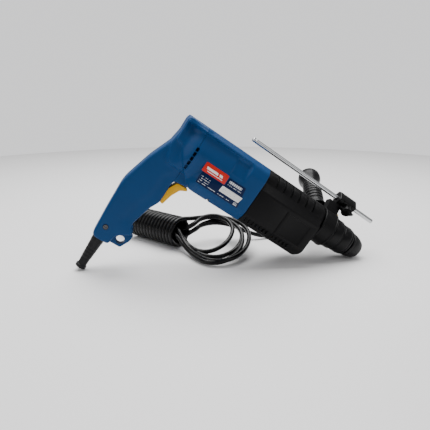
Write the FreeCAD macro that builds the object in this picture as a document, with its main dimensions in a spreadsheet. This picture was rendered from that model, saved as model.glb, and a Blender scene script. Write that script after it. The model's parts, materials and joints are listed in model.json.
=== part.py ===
import FreeCAD, Part
import math
import os

import Sketcher

# A mains rotary hammer that rests nose down on its chuck and its cord guard.
# Tool frame: X runs along the spindle towards the chuck, whose front face is at 0,
# Z is up from the spindle axis, and Y points to the side that carries the side handle.
# The stance turns the tool frame about Y and sets the origin at bottom centre.

Vector = FreeCAD.Vector
Placement = FreeCAD.Placement
Rotation = FreeCAD.Rotation

SIZES = {
    # stance
    "tilt": 34.3,
    # motor housing and its section
    "housing_rear": 304, "housing_front": 198, "housing_top": 28, "housing_base": 59,
    "housing_half": 38, "crease_half": 34, "crease_height": 21, "ridge_half": 22,
    "shoulder_height": 9, "keel_half": 27, "keel_height": 45, "housing_wall": 3,
    # gear housing and nose
    "gear_front": 92, "barrel_radius": 28, "barrel_wall": 3.5, "rib_count": 6, "rib_pitch": 13.5,
    "rib_depth": 1.4, "rib_width": 2.6, "rib_first": 110, "collar_front": 46,
    "collar_radius": 24.4, "collar_wall": 1.5, "recess_depth": 11,
    # handle
    "handle_rear": 337, "cap_half": 35, "grip_half": 18, "handle_base": 191, "handle_wall": 3,
    "lug_half": 6, "eye_radius": 6.3, "eye_back": 322, "eye_drop": 178,
    # spindle and its hammer works
    "tool_bore": 5.0, "bore_length": 56, "nose_radius": 12, "tube_front": 14, "tube_radius": 15.5,
    "cylinder_bore": 12.7, "tube_rear": 144, "piston_gap": 0.05, "running_gap": 0.05,
    "ball_radius": 3, "ball_back": 38, "ball_offset": 8.4,
    # chuck
    "sleeve_rear": 47, "sleeve_front": 23, "sleeve_radius": 22.5, "cap_rear": 20.5,
    "cap_radius": 19.5, "cap_nose": 13.7,
    # gear train
    "lay_drop": 30, "lay_radius": 5, "motor_drop": 9.4, "motor_shaft": 4.5,
    "mesh_gap": 0.2, "lay_gear_tip": 17.3, "spindle_gear_tip": 21.9, "gear_teeth": 47,
    "pinion_teeth": 8, "lay_teeth": 12, "spindle_teeth": 31,
    "drum_radius": 12, "drum_half": 7, "wobble_back": 154.5, "wobble_gap": 0.4,
    # motor
    "stack_rear": 276, "stack_length": 50, "armature_radius": 17.5, "air_gap": 0.5,
    "stator_radius": 31, "commutator_radius": 12, "fan_radius": 29,
    # side handle
    "strap_back": 74, "strap_half": 12, "strap_wall": 3.2, "handle_lift": 19.5,
    "grip_start": 47, "grip_end": 175, "bulb_radius": 20, "grip_radius": 15.5,
    "rod_radius": 3.6, "rod_front": 4, "rod_length": 240, "rod_side": 20, "rod_height": 50,
    # trigger, lock-on button and mode knob
    "knob_back": 150, "knob_drop": 25, "button_back": 322, "button_drop": 82,
    "trigger_half": 9, "side_gap": 0.5, "pivot_back": 288, "pivot_drop": 66,
    # cord
    "cord_radius": 3.7, "guard_back": 349, "guard_top_radius": 9.5, "guard_tip_radius": 6.2,
    "rim_radius": 8, "hank_radius": 26, "hank_height": 50,
}


class Size:
    """A length that knows its number and the sheet formula it comes from."""

    def __init__(self, number, formula):
        self.number = number
        self.formula = formula

    def join(self, sign, other, number, swapped=False):
        text = other.formula if isinstance(other, Size) else repr(other)
        pair = (text, self.formula) if swapped else (self.formula, text)
        return Size(number, "(%s %s %s)" % (pair[0], sign, pair[1]))

    def __add__(self, other):
        return self.join("+", other, self.number + plain(other))

    def __radd__(self, other):
        return self.join("+", other, self.number + other, True)

    def __sub__(self, other):
        return self.join("-", other, self.number - plain(other))

    def __rsub__(self, other):
        return self.join("-", other, other - self.number, True)

    def __mul__(self, other):
        return self.join("*", other, self.number * plain(other))

    def __rmul__(self, other):
        return self.join("*", other, self.number * other, True)

    def __truediv__(self, other):
        return self.join("/", other, self.number / plain(other))

    def __neg__(self):
        return Size(-self.number, "(0 - %s)" % self.formula)

    def tangent(self):
        return Size(math.tan(math.radians(self.number)), "tan(%s * 1 deg)" % self.formula)


class Sheet:
    """The driving dimensions, read as attributes: S.tilt, S.housing_top."""

    def __init__(self, doc, sizes):
        cells = doc.addObject("Spreadsheet::Sheet", "Sizes")
        for row, (name, number) in enumerate(sizes.items(), 1):
            cells.set("A%d" % row, name)
            cells.set("B%d" % row, repr(number))
            cells.setAlias("B%d" % row, name)
            setattr(self, name, Size(number, "Sizes.%s" % name))


def plain(value):
    return value.number if isinstance(value, Size) else float(value)


doc = FreeCAD.newDocument("rotary_hammer")
S = Sheet(doc, SIZES)
doc.recompute()
nodes = []


# ---------------------------------------------------------------- modelling helpers

def bind(thing, path, value):
    """Gives a property its number and ties it to the sheet."""
    if isinstance(value, Size):
        thing.setExpression(path, value.formula)
    else:
        setattr(thing, path, value)


def at(x=0, y=0, z=0, aim=None, roll=0):
    """A place in the tool frame, with the local X axis turned towards aim, or rolled about X."""
    turn = Rotation(Vector(1, 0, 0), Vector(*aim)) if aim else Rotation(Vector(1, 0, 0), roll)
    return Placement(Vector(plain(x), plain(y), plain(z)), turn)


def stance():
    return Placement(Vector(), Rotation(Vector(0, 1, 0), S.tilt.number))


def node(thing, label, place=None, on_floor=False):
    """Names a sub-part and puts it in its place, in the tool frame or on the floor."""
    thing.Label = label
    place = place or Placement()
    thing.Placement = place if on_floor else stance().multiply(place)
    nodes.append(thing)
    return thing


def new_body(label, place=None, on_floor=False):
    return node(doc.addObject("PartDesign::Body", label), label, place, on_floor)


def corner_arc(before, corner, after, radius):
    """Where a rounding of this radius starts and ends, and its centre."""
    here = Vector(*corner, 0)
    back = (Vector(*before, 0) - here).normalize()
    ahead = (Vector(*after, 0) - here).normalize()
    half = back.getAngle(ahead) / 2
    reach = radius / math.tan(half)
    middle = here + (back + ahead).normalize() * (radius / math.sin(half))
    return here + back * reach, here + ahead * reach, middle


def fix_point(sketch, geometry, end, point):
    for kind, value in zip(("DistanceX", "DistanceY"), point):
        made = sketch.addConstraint(Sketcher.Constraint(kind, -1, 1, geometry, end, plain(value)))
        if isinstance(value, Size):
            sketch.setExpression("Constraints[%d]" % made, value.formula)


def draw(sketch, points):
    """A closed outline of (x, y) or (x, y, radius) corners, fixed by the sheet."""
    count = len(points)
    flat = [(plain(p[0]), plain(p[1])) for p in points]
    rounds = {}
    for i, point in enumerate(points):
        if len(point) > 2:
            rounds[i] = corner_arc(flat[i - 1], flat[i], flat[(i + 1) % count], plain(point[2]))
    lines = []
    for i in range(count):
        j = (i + 1) % count
        start = rounds[i][1] if i in rounds else Vector(*flat[i], 0)
        end = rounds[j][0] if j in rounds else Vector(*flat[j], 0)
        lines.append(sketch.addGeometry(Part.LineSegment(start, end), False))
    for i, point in enumerate(points):
        into, away = lines[i - 1], lines[i]
        if i not in rounds:
            sketch.addConstraint(Sketcher.Constraint("Coincident", into, 2, away, 1))
            fix_point(sketch, away, 1, point[:2])
            continue
        start, end, middle = rounds[i]
        circle = Part.Circle(middle, Vector(0, 0, 1), plain(point[2]))
        turn = (start - Vector(*flat[i], 0)).cross(end - Vector(*flat[i], 0)).z
        pair = (start, end) if turn < 0 else (end, start)
        angles = [math.atan2(p.y - middle.y, p.x - middle.x) for p in pair]
        arc = sketch.addGeometry(Part.ArcOfCircle(circle, angles[0], angles[1]), False)
        first, last = (1, 2) if turn < 0 else (2, 1)
        corner = sketch.addGeometry(Part.Point(Vector(*flat[i], 0)), True)
        fix_point(sketch, corner, 1, point[:2])
        sketch.addConstraint(Sketcher.Constraint("PointOnObject", corner, 1, into))
        sketch.addConstraint(Sketcher.Constraint("PointOnObject", corner, 1, away))
        sketch.addConstraint(Sketcher.Constraint("Tangent", into, 2, arc, first))
        sketch.addConstraint(Sketcher.Constraint("Tangent", arc, last, away, 1))
        made = sketch.addConstraint(Sketcher.Constraint("Radius", arc, plain(point[2])))
        if isinstance(point[2], Size):
            sketch.setExpression("Constraints[%d]" % made, point[2].formula)


def ring(sketch, x, y, radius):
    """A circle fixed by the sheet."""
    circle = Part.Circle(Vector(plain(x), plain(y), 0), Vector(0, 0, 1), plain(radius))
    made = sketch.addGeometry(circle, False)
    fix_point(sketch, made, 3, (x, y))
    sized = sketch.addConstraint(Sketcher.Constraint("Radius", made, plain(radius)))
    if isinstance(radius, Size):
        sketch.setExpression("Constraints[%d]" % sized, radius.formula)


def sketch_on(body, plane, outlines=(), circles=(), offset=0):
    """A sketch on one of the body's own planes, moved along its normal by offset."""
    sketch = body.newObject("Sketcher::SketchObject", body.Name + "_sketch")
    flat = [f for f in body.Origin.OriginFeatures if f.Role == plane + "_Plane"][0]
    sketch.AttachmentSupport = [(flat, "")]
    sketch.MapMode = "FlatFace"
    if isinstance(offset, Size):
        sketch.setExpression("AttachmentOffset.Base.z", offset.formula)
    sketch.AttachmentOffset = Placement(Vector(0, 0, plain(offset)), Rotation())
    for outline in outlines:
        draw(sketch, outline)
    for circle in circles:
        ring(sketch, *circle)
    return sketch


def pad(body, plane, length, outlines=(), circles=(), offset=0, middle=False, back=False):
    feature = body.newObject("PartDesign::Pad", body.Name + "_pad")
    feature.Profile = sketch_on(body, plane, outlines, circles, offset)
    bind(feature, "Length", length)
    feature.Midplane = middle
    feature.Reversed = back
    return feature


def pocket(body, plane, length, outlines=(), circles=(), offset=0, middle=False, back=False):
    """A cut of this length, along the sketch's normal when back is true."""
    feature = body.newObject("PartDesign::Pocket", body.Name + "_pocket")
    feature.Profile = sketch_on(body, plane, outlines, circles, offset)
    bind(feature, "Length", length)
    feature.Midplane = middle
    feature.Reversed = back
    return feature


def turned(label, profile, place=None, on_floor=False):
    """A piece turned about its local X axis from (x, radius) corners."""
    body = new_body(label, place, on_floor)
    feature = body.newObject("PartDesign::Revolution", label + "_turned")
    feature.Profile = sketch_on(body, "XZ", [profile])
    feature.ReferenceAxis = (feature.Profile[0], ["H_Axis"])
    feature.Angle = 360
    return body


def around(body, feature, count, sweep=360):
    """Repeats a feature about the local X axis."""
    doc.recompute()
    pattern = body.newObject("PartDesign::PolarPattern", body.Name + "_pattern")
    pattern.Originals = [feature]
    line = [f for f in body.Origin.OriginFeatures if f.Role == "X_Axis"][0]
    pattern.Axis = (line, [""])
    pattern.Angle = sweep
    bind(pattern, "Occurrences", count)
    body.Tip = pattern
    return pattern


def tube_ring(label, rear, front, inner, outer, place=None):
    """A plain turned ring between two radii."""
    return turned(label, [(rear, inner), (rear, outer), (front, outer), (front, inner)], place)


def bearing(label, rear, width, bore, outer, place=None):
    """A ball bearing as one turned ring with a shallow channel on each face."""
    middle = (bore + outer) / 2
    channel = (outer - bore) / 8
    front = rear + width
    return turned(label, [
        (rear, bore), (rear, middle - channel), (rear + 0.8, middle - channel),
        (rear + 0.8, middle + channel), (rear, middle + channel), (rear, outer),
        (front, outer), (front, middle + channel), (front - 0.8, middle + channel),
        (front - 0.8, middle - channel), (front, middle - channel), (front, bore)], place)


def toothed(label, rear, width, bore, tip, teeth, depth, place):
    """A spur gear: a blank with one tooth gap cut and repeated round it."""
    body = new_body(label, place)
    pad(body, "YZ", width, circles=[(0, 0, tip), (0, 0, bore)], offset=rear)
    doc.recompute()
    share = tip * (math.pi / plain(teeth))
    gap = [(-share * 0.52, tip + 0.4), (-share * 0.3, tip - depth),
           (share * 0.3, tip - depth), (share * 0.52, tip + 0.4)]
    cut = pocket(body, "YZ", width + 2, [gap], offset=rear - 1, back=True)
    around(body, cut, teeth)
    return body


def solid_node(label, shape, place=None, on_floor=False):
    """A sub-part whose shape is made directly from the sheet's numbers."""
    thing = doc.addObject("Part::Feature", label)
    thing.Shape = shape
    return node(thing, label, place, on_floor)


def block(label, x, y, z, place=None):
    """A Part box between two bounds on each axis."""
    box = doc.addObject("Part::Box", label)
    for prop, (low, high) in zip(("Length", "Width", "Height"), (x, y, z)):
        bind(box, prop, high - low)
    corner = Placement(Vector(plain(x[0]), plain(y[0]), plain(z[0])), Rotation())
    return box, (place or Placement()).multiply(corner)


# ---------------------------------------------------------------- casings

def section(inset):
    """The motor housing's cross-section, seen along the spindle, inset by a wall."""
    right = [(S.keel_half - inset / 2, -(S.housing_base - inset), 7),
             (S.housing_half - inset, -S.keel_height, 9),
             (S.housing_half - inset, S.shoulder_height, 8),
             (S.crease_half - inset, S.crease_height - inset / 2, 6),
             (S.ridge_half - inset / 2, S.housing_top - inset, 7)]
    return right + [(-y, z, r) for y, z, r in reversed(right)]


def motor_housing():
    """The blue tube round the motor, cut away below where the handle joins it."""
    body = new_body("motor_housing")
    length = S.housing_rear - S.housing_front
    pad(body, "YZ", length, [section(0 * S.housing_wall), section(S.housing_wall)],
        offset=-S.housing_rear)
    doc.recompute()
    heel = [(-S.housing_rear - 1, 6 - S.keel_height), (-S.housing_rear + 25, -S.housing_base),
            (-S.housing_rear + 25, -S.housing_base - 1), (-S.housing_rear - 1, -S.housing_base - 1)]
    pocket(body, "XZ", 4 * S.housing_half, [heel], middle=True)


def gear_section(inset):
    """The gear housing: a round barrel for the spindle on a wider box."""
    side = S.housing_half - inset
    low = S.housing_base - inset
    barrel = S.barrel_radius - inset
    right = [(S.keel_half - inset / 2, -low, 8), (side, -S.keel_height, 8),
             (side, -2 - inset / 2, 3), (barrel * 0.93, 9 - inset / 2, 5),
             (barrel * 0.83, barrel * 0.74, 12), (barrel * 0.36, barrel * 1.0, 12)]
    return right + [(-y, z, r) for y, z, r in reversed(right)]


SCREW_PLACES = [(y, z) for y in (-29, 29) for z in (-44, -9)]


def gear_housing():
    """The black gear case with ribs over the barrel, a front wall and a seat for the collar."""
    body = new_body("gear_housing")
    length = S.housing_front - S.gear_front
    pad(body, "YZ", length, [gear_section(0 * S.barrel_wall)], offset=-S.housing_front)
    doc.recompute()
    pocket(body, "YZ", length - 5, [gear_section(S.barrel_wall)], offset=-S.housing_front, back=True)
    doc.recompute()
    pocket(body, "YZ", 8, circles=[(0, 0, S.tube_radius + 5.5)], offset=-S.gear_front - 6, back=True)
    doc.recompute()
    pocket(body, "YZ", 4, circles=[(0, -S.lay_drop, 7.6)], offset=-S.gear_front - 6, back=True)
    doc.recompute()
    pocket(body, "YZ", 8, circles=[(y, z, 2) for y, z in SCREW_PLACES], offset=-S.gear_front - 6, back=True)
    doc.recompute()
    chin = [(-S.gear_front - 8, -S.housing_base - 1), (-S.gear_front + 1, -S.housing_base + 9),
            (-S.gear_front + 1, -S.housing_base - 1)]
    pocket(body, "XZ", 4 * S.housing_half, [chin], middle=True)
    doc.recompute()
    groove = body.newObject("PartDesign::Groove", "rib_groove")
    front = -S.rib_first
    rim = S.barrel_radius - S.rib_depth
    groove.Profile = sketch_on(body, "XZ", [[(front, rim), (front, rim + 6),
                                             (front - S.rib_width, rim + 6),
                                             (front - S.rib_width, rim)]])
    groove.ReferenceAxis = (groove.Profile[0], ["H_Axis"])
    groove.Midplane = True
    groove.Angle = 130
    doc.recompute()
    ribs = body.newObject("PartDesign::LinearPattern", "rib_pattern")
    ribs.Originals = [groove]
    line = [f for f in body.Origin.OriginFeatures if f.Role == "X_Axis"][0]
    ribs.Direction = (line, [""])
    ribs.Reversed = True
    bind(ribs, "Length", (S.rib_count - 1) * S.rib_pitch)
    bind(ribs, "Occurrences", S.rib_count)
    body.Tip = ribs
    doc.recompute()
    knob = pocket(body, "XZ", 20, circles=[(-S.knob_back, -S.knob_drop, 6.4)], offset=-S.housing_half - 2,
                  back=True)
    body.Tip = knob


def bearing_bridge():
    """The cast plate between motor and gears that holds two of their bearings."""
    body = new_body("bearing_bridge")
    inner = S.barrel_wall + 0.3
    pad(body, "YZ", 8, [gear_section(inner)],
        [(0, -S.motor_drop, 9.5), (0, -S.lay_drop, 8)], offset=-S.housing_front + 2)


def front_collar():
    """The nose collar: strap seat outside, bearing and seal seats and sleeve recess inside."""
    front = -S.collar_front
    rear = -S.gear_front
    step = S.tube_radius + 5.5
    sleeve_room = S.collar_radius - S.collar_wall
    bore = S.tube_radius + 0.7
    turned("front_collar", [
        (rear - 4, step - 0.2), (rear - 4, step - 1.6), (rear + 2, step - 1.6), (rear + 2, step - 2.5),
        (rear + 14, step - 2.5), (rear + 14, bore), (front - S.recess_depth, bore),
        (front - S.recess_depth, sleeve_room), (front, sleeve_room), (front, S.collar_radius - 0.8),
        (front - 3, S.collar_radius), (rear, S.collar_radius), (rear, step - 0.2)])


def handle_outline():
    """The handle's side view: cap, grip and flared toe, from the parting line round."""
    rear = -S.handle_rear
    base = -S.handle_base
    return [(-S.housing_rear, S.housing_top), (rear, S.housing_top, 7), (rear + 2, 4, 20),
            (rear, -12, 25), (rear - 15, -50, 60), (rear - 28, -98, 45), (rear - 26, -150, 60),
            (rear - 24, base, 6), (rear + 3, base, 3), (rear + 6, base + 18, 4),
            (rear + 29, base + 31, 3), (rear + 16, base + 41, 12), (rear + 25, -114, 12),
            (rear + 33, -99, 4), (rear + 32, -62, 4), (-S.housing_rear + 25, -S.housing_base, 2),
            (-S.housing_rear, 6 - S.keel_height)]


def handle_half(label, side):
    """One half of the handle: a hollow grip with a wider hollow cap at the top."""
    body = new_body(label)
    right = side < 0
    pad(body, "XZ", S.grip_half, [handle_outline()], back=not right)
    doc.recompute()
    rear = -S.handle_rear
    front = -S.housing_rear
    cap = [(front, S.housing_top - 3, 2), (rear + 3, S.housing_top - 3, 6), (rear + 5, 4, 15),
           (rear + 3, -12, 20), (rear - 3, -34, 8), (front, 6 - S.keel_height)]
    pad(body, "XZ", S.cap_half, [cap], back=not right)
    doc.recompute()
    wall = S.handle_wall
    hollow = [(front + 2, S.housing_top - 6), (rear + 6, S.housing_top - 6, 4), (rear + 8, 4, 12),
              (rear + 6, -13, 15), (rear + 3, -34, 4), (front + 2, -S.keel_height + 9)]
    pocket(body, "XZ", S.cap_half - wall, [hollow], back=right)
    doc.recompute()
    grip = [(front + 2, -30), (rear + 1, -30), (rear - 11, -52, 40), (rear - 24, -98, 40),
            (rear - 22, -150, 40), (rear - 20, -S.handle_base + 18), (rear + 4, -S.handle_base + 18, 4),
            (rear + 11, -S.handle_base + 42, 8), (rear + 21, -114, 8), (rear + 28, -99, 3),
            (rear + 28, -58, 3), (front + 20, -S.housing_base + 4), (front + 2, 2 - S.keel_height + 8)]
    pocket(body, "XZ", S.grip_half - wall, [grip], back=right)
    doc.recompute()
    slot = [(rear + 12, -106), (rear + 40, -106), (front + 26, -S.housing_base - 6),
            (front + 26, -S.housing_base + 8), (rear + 12, -S.housing_base + 8)]
    pocket(body, "XZ", S.trigger_half + S.side_gap, [slot], back=right)
    doc.recompute()
    pocket(body, "XY", 30, circles=[(-S.guard_back, 0, S.guard_top_radius)],
           offset=-S.handle_base - 1, back=True)
    doc.recompute()
    return body


def lug_outline(gap=0):
    """The hanging eye's boss, which belongs to the right half."""
    x, z = -S.eye_back, -S.eye_drop
    return [(x - 12 - gap, z - 11 - gap, 3), (x + 6 + gap, z - 11 - gap, 4), (x + 13 + gap, z + 5, 4),
            (x + 13 + gap, z + 13 + gap, 3), (x - 12 - gap, z + 13 + gap, 3)]


def handle_shells():
    """Both halves; the right one carries the lug and the left one makes room for it."""
    right = handle_half("handle_shell_right", -1)
    pad(right, "XZ", 2 * S.lug_half, [lug_outline()], middle=True)
    doc.recompute()
    pocket(right, "XZ", 4 * S.grip_half, circles=[(-S.eye_back, -S.eye_drop, S.eye_radius)], middle=True)
    doc.recompute()
    pocket(right, "XZ", 3, circles=[(-S.handle_rear - 13, -S.handle_base + 22, 4.2)],
           offset=S.grip_half - 2.5, back=True)
    doc.recompute()
    pocket(right, "XZ", 6, circles=[(-S.handle_rear - 13, -S.handle_base + 22, 1.7)],
           offset=S.grip_half - 5, back=True)
    left = handle_half("handle_shell_left", 1)
    pocket(left, "XZ", S.lug_half + 0.1, [lug_outline(0.1)], back=False)
    doc.recompute()
    pocket(left, "XZ", 4 * S.grip_half, circles=[(-S.eye_back, -S.eye_drop, S.eye_radius + 0.5)],
           middle=True)
    doc.recompute()
    pocket(left, "XZ", 12, circles=[(-S.button_back, -S.button_drop, 5.4)], offset=-S.grip_half - 2,
           back=True)


def labels():
    """Three thin plates on the right side of the motor housing."""
    face = S.housing_half
    plates = {
        "rating_label": (0.4, 0, [(-283, -43), (-213, -43), (-218, -13), (-246, -13), (-246, -25.5),
                                  (-283, -25.5)]),
        "badge_plate": (0.5, 0, [(-285, -25), (-247, -25), (-247.5, -11), (-284.5, -11)]),
        "inspection_sticker": (0.2, 0.4, [(-249, -36), (-216, -36), (-214, -27), (-248, -27)]),
    }
    for label, (thick, lift, outline) in plates.items():
        body = new_body(label)
        corners = [(x, z, 1) for x, z in outline]
        pad(body, "XZ", thick, [corners], offset=face + lift)


# ---------------------------------------------------------------- spindle and chuck

def spindle():
    """The tool holder tube: tool bore, impact chamber and air cylinder in one turned piece."""
    rear = -S.tube_rear
    nose = -4
    body = turned("spindle_tube", [
        (nose, S.tool_bore), (nose, S.nose_radius), (-S.sleeve_front, S.nose_radius),
        (-S.sleeve_front, S.tube_front), (-S.collar_front - 12, S.tube_front),
        (-S.collar_front - 12, S.tube_radius), (rear, S.tube_radius), (rear, S.cylinder_bore),
        (-S.gear_front, S.cylinder_bore), (-S.gear_front, 7.6), (-4 - S.bore_length, 7.6),
        (-4 - S.bore_length, S.tool_bore)])
    doc.recompute()
    pocket(body, "XY", 4 * S.tube_front, circles=[(-S.ball_back, 0, S.ball_radius + 0.1)], middle=True)
    toothed("spindle_gear", -S.tube_rear + 6, 10, S.tube_radius, S.spindle_gear_tip, S.spindle_teeth,
            2.2, at())
    bearing("spindle_rear_bearing", -S.tube_rear + 18, 8, S.tube_radius + S.running_gap,
            S.barrel_radius - S.barrel_wall - 0.9)
    bearing("spindle_front_bearing", -S.gear_front + 2.2, 8, S.tube_radius + S.running_gap,
            S.tube_radius + 2.9)
    tube_ring("oil_seal", -S.gear_front + 10.5, -S.gear_front + 13.8, S.tube_radius + 0.08,
              S.tube_radius + 2.9)


def hammer_works():
    """Piston, striker and impact bolt, one behind the other in the spindle tube."""
    slide = S.cylinder_bore - S.piston_gap
    pin = -S.wobble_back
    body = turned("piston", [
        (pin + 8.5, 0), (pin + 8.5, slide - 1), (pin + 9.5, slide), (pin + 12.5, slide),
        (pin + 12.5, slide - 1), (pin + 15.5, slide - 1), (pin + 15.5, slide), (pin + 23.5, slide),
        (pin + 24.5, slide - 1), (pin + 24.5, 0)])
    doc.recompute()
    pad(body, "XY", 9, [[(pin - 7.5, -7, 4), (pin + 9.5, -7), (pin + 9.5, 7), (pin - 7.5, 7, 4)]], offset=-5)
    doc.recompute()
    pocket(body, "XY", 14, circles=[(-S.wobble_back, 0, 4.2)], offset=-7, back=True)
    turned("striker", [(-118, 0), (-118, slide - 1), (-117, slide), (-114, slide), (-114, slide - 1.2),
                       (-111, slide - 1.2), (-111, slide), (-106, slide), (-104, 8), (-104, 0)])
    turned("impact_bolt", [(-98, 0), (-98, 5.4), (-84, 5.4), (-84, 7.5), (-73, 7.5), (-71, 4.9),
                           (-62, 4.9), (-61, 4), (-61, 0)])


def chuck():
    """Locking sleeve, its spring, the two locking balls and the rubber dust cap."""
    rear, front = -S.sleeve_rear, -S.sleeve_front
    radius = S.sleeve_radius
    fit = S.tube_front + 0.08
    turned("lock_sleeve", [
        (rear, 18.6), (rear, radius - 0.8), (rear + 2, radius), (front - 5, radius),
        (front, radius - 2.5), (front, fit), (front - 4, fit), (front - 4, 18.6)])
    tube_ring("sleeve_spring", -S.collar_front - 10, -S.sleeve_front - 4.2, S.tube_front + 0.4, 17.2)
    balls = [Part.makeSphere(S.ball_radius.number, Vector(-S.ball_back.number, 0, sign * S.ball_offset.number))
             for sign in (1, -1)]
    solid_node("locking_balls", Part.makeCompound(balls))
    cap = S.cap_radius
    turned("front_cap", [
        (-S.cap_rear, S.nose_radius), (-S.cap_rear, cap - 0.8), (-S.cap_rear + 1, cap), (-14, cap - 1.2),
        (-2, S.cap_nose + 0.8), (0, S.cap_nose - 0.6), (0, S.tool_bore + 1), (-4, S.tool_bore + 1),
        (-4, S.nose_radius)])


# ---------------------------------------------------------------- gear train and motor

def ball_ring(radius, half, inner=None, outer=None):
    """A ball's middle slice between two radii, one of them its round surface, turned from its profile."""
    edge = math.sqrt(radius ** 2 - half ** 2)
    flat = inner if inner is not None else outer
    crown = Part.Arc(Vector(-half, 0, edge), Vector(0, 0, radius), Vector(half, 0, edge)).toShape()
    sides = Part.makePolygon([Vector(half, 0, edge), Vector(half, 0, flat), Vector(-half, 0, flat),
                              Vector(-half, 0, edge)])
    return Part.Face(Part.Wire([crown] + sides.Edges)).revolve(Vector(), Vector(1, 0, 0), 360)


def wobble_drum():
    """A ball with both ends cut flat and a bore for the shaft."""
    return ball_ring(S.drum_radius.number, S.drum_half.number, inner=S.lay_radius.number)


def lay_shaft():
    """The intermediate shaft below the spindle, with its gears and the wobble drum."""
    place = at(z=-S.lay_drop)
    shaft = S.lay_radius
    turned("intermediate_shaft", [(-195, 0), (-195, shaft - 0.5), (-194.5, shaft), (-95, shaft),
                                  (-94.5, shaft - 0.5), (-94.5, 0)], place)
    toothed("first_gear", -183, 8, shaft, S.lay_gear_tip, S.gear_teeth, 1.3, place)
    toothed("second_pinion", -S.tube_rear + 6, 10, shaft,
            S.lay_drop - S.mesh_gap - S.spindle_gear_tip, S.lay_teeth, 1.6, place)
    solid_node("wobble_drum", wobble_drum(), at(-S.wobble_back, 0, -S.lay_drop))
    bearing("intermediate_rear_bearing", -S.housing_front + 2.5, 6, shaft + 0.03, shaft + 3, place)
    bearing("intermediate_front_bearing", -S.gear_front - 6, 4, shaft + 0.03, shaft + 2.6, place)


def wobble_ring():
    """The ring on the drum, whose pin drives the piston to and fro."""
    inner = S.drum_radius.number + S.wobble_gap.number
    band = ball_ring(inner, 4, outer=inner + 3.6)
    pin = Part.makeCylinder(2.5, S.lay_drop.number + 2 - inner - 1, Vector(0, 0, inner + 1))
    solid_node("wobble_ring", band.fuse(pin), at(-S.wobble_back, 0, -S.lay_drop))


def armature():
    """Everything that turns with the motor shaft."""
    place = at(z=-S.motor_drop)
    shaft = S.motor_shaft
    front = -S.stack_rear + S.stack_length
    turned("armature_shaft", [(-323, 0), (-323, shaft - 1), (-308, shaft - 1), (-308, shaft),
                              (-189, shaft), (-189, 2.2), (-173, 2.2), (-173, 0)], place)
    core = new_body("armature_core", place)
    pad(core, "YZ", S.stack_length, circles=[(0, 0, S.armature_radius), (0, 0, shaft)],
        offset=-S.stack_rear)
    doc.recompute()
    slot = [(-0.9, S.armature_radius - 9), (-0.9, S.armature_radius + 1),
            (0.9, S.armature_radius + 1), (0.9, S.armature_radius - 9)]
    around(core, pocket(core, "YZ", S.stack_length + 2, [slot], offset=-S.stack_rear - 1, back=True), 12)
    bars = new_body("commutator", place)
    pad(bars, "YZ", 16, circles=[(0, 0, S.commutator_radius), (0, 0, shaft)], offset=-S.stack_rear - 27)
    doc.recompute()
    gap = [(-0.25, S.commutator_radius - 2), (-0.25, S.commutator_radius + 1),
           (0.25, S.commutator_radius + 1), (0.25, S.commutator_radius - 2)]
    around(bars, pocket(bars, "YZ", 18, [gap], offset=-S.stack_rear - 28, back=True), 24)
    fan = new_body("cooling_fan", place)
    pad(fan, "YZ", 2, circles=[(0, 0, S.fan_radius), (0, 0, shaft)], offset=front + 12)
    doc.recompute()
    blade = pad(fan, "YZ", 8, [[(-0.8, 9), (0.8, 9), (0.8, S.fan_radius - 0.5), (-0.8, S.fan_radius - 0.5)]],
                offset=front + 13)
    around(fan, blade, 12)
    toothed("motor_pinion", -184, 11, 2.2, S.lay_drop - S.motor_drop - S.mesh_gap - S.lay_gear_tip,
            S.pinion_teeth, 0.6, place)
    bearing("armature_rear_bearing", -322, 7, shaft - 1 + 0.03, shaft + 6.5, place)
    bearing("armature_front_bearing", -S.housing_front + 2.5, 6, shaft + 0.03, shaft + 5, place)


def stator():
    """Field core, coils, brush holders, brushes and their springs."""
    place = at(z=-S.motor_drop)
    rear = -S.stack_rear
    front = rear + S.stack_length
    bore = S.armature_radius + S.air_gap
    tube_ring("stator_core", rear, front, bore, S.stator_radius, place)
    coils = [Part.makeCylinder(29, 8, Vector(x, 0, 0), Vector(1, 0, 0)).cut(
        Part.makeCylinder(21, 10, Vector(x - 1, 0, 0), Vector(1, 0, 0)))
        for x in (rear.number - 8, front.number)]
    solid_node("field_coils", Part.makeCompound(coils), place)
    contact = S.commutator_radius.number + 0.1
    behind = rear.number - 22
    holders, brushes, springs = [], [], []
    for side in (1, -1):
        outer = Part.makeBox(10, 19, 12, Vector(behind - 2, contact + 1.5, -6))
        inner = Part.makeBox(6.2, 30, 8.2, Vector(behind - 0.1, contact, -4.1))
        brush = Part.makeBox(6, 10, 8, Vector(behind, contact, -4))
        coil = Part.makeCylinder(2.6, 8, Vector(behind + 3, contact + 10, 0), Vector(0, 1, 0))
        for shape, group in ((outer.cut(inner), holders), (brush, brushes), (coil, springs)):
            group.append(shape if side > 0 else shape.mirror(Vector(), Vector(0, 1, 0)))
    solid_node("brush_holders", Part.makeCompound(holders), place)
    solid_node("carbon_brushes", Part.makeCompound(brushes), place)
    solid_node("brush_springs", Part.makeCompound(springs), place)


# ---------------------------------------------------------------- controls in the handle

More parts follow.
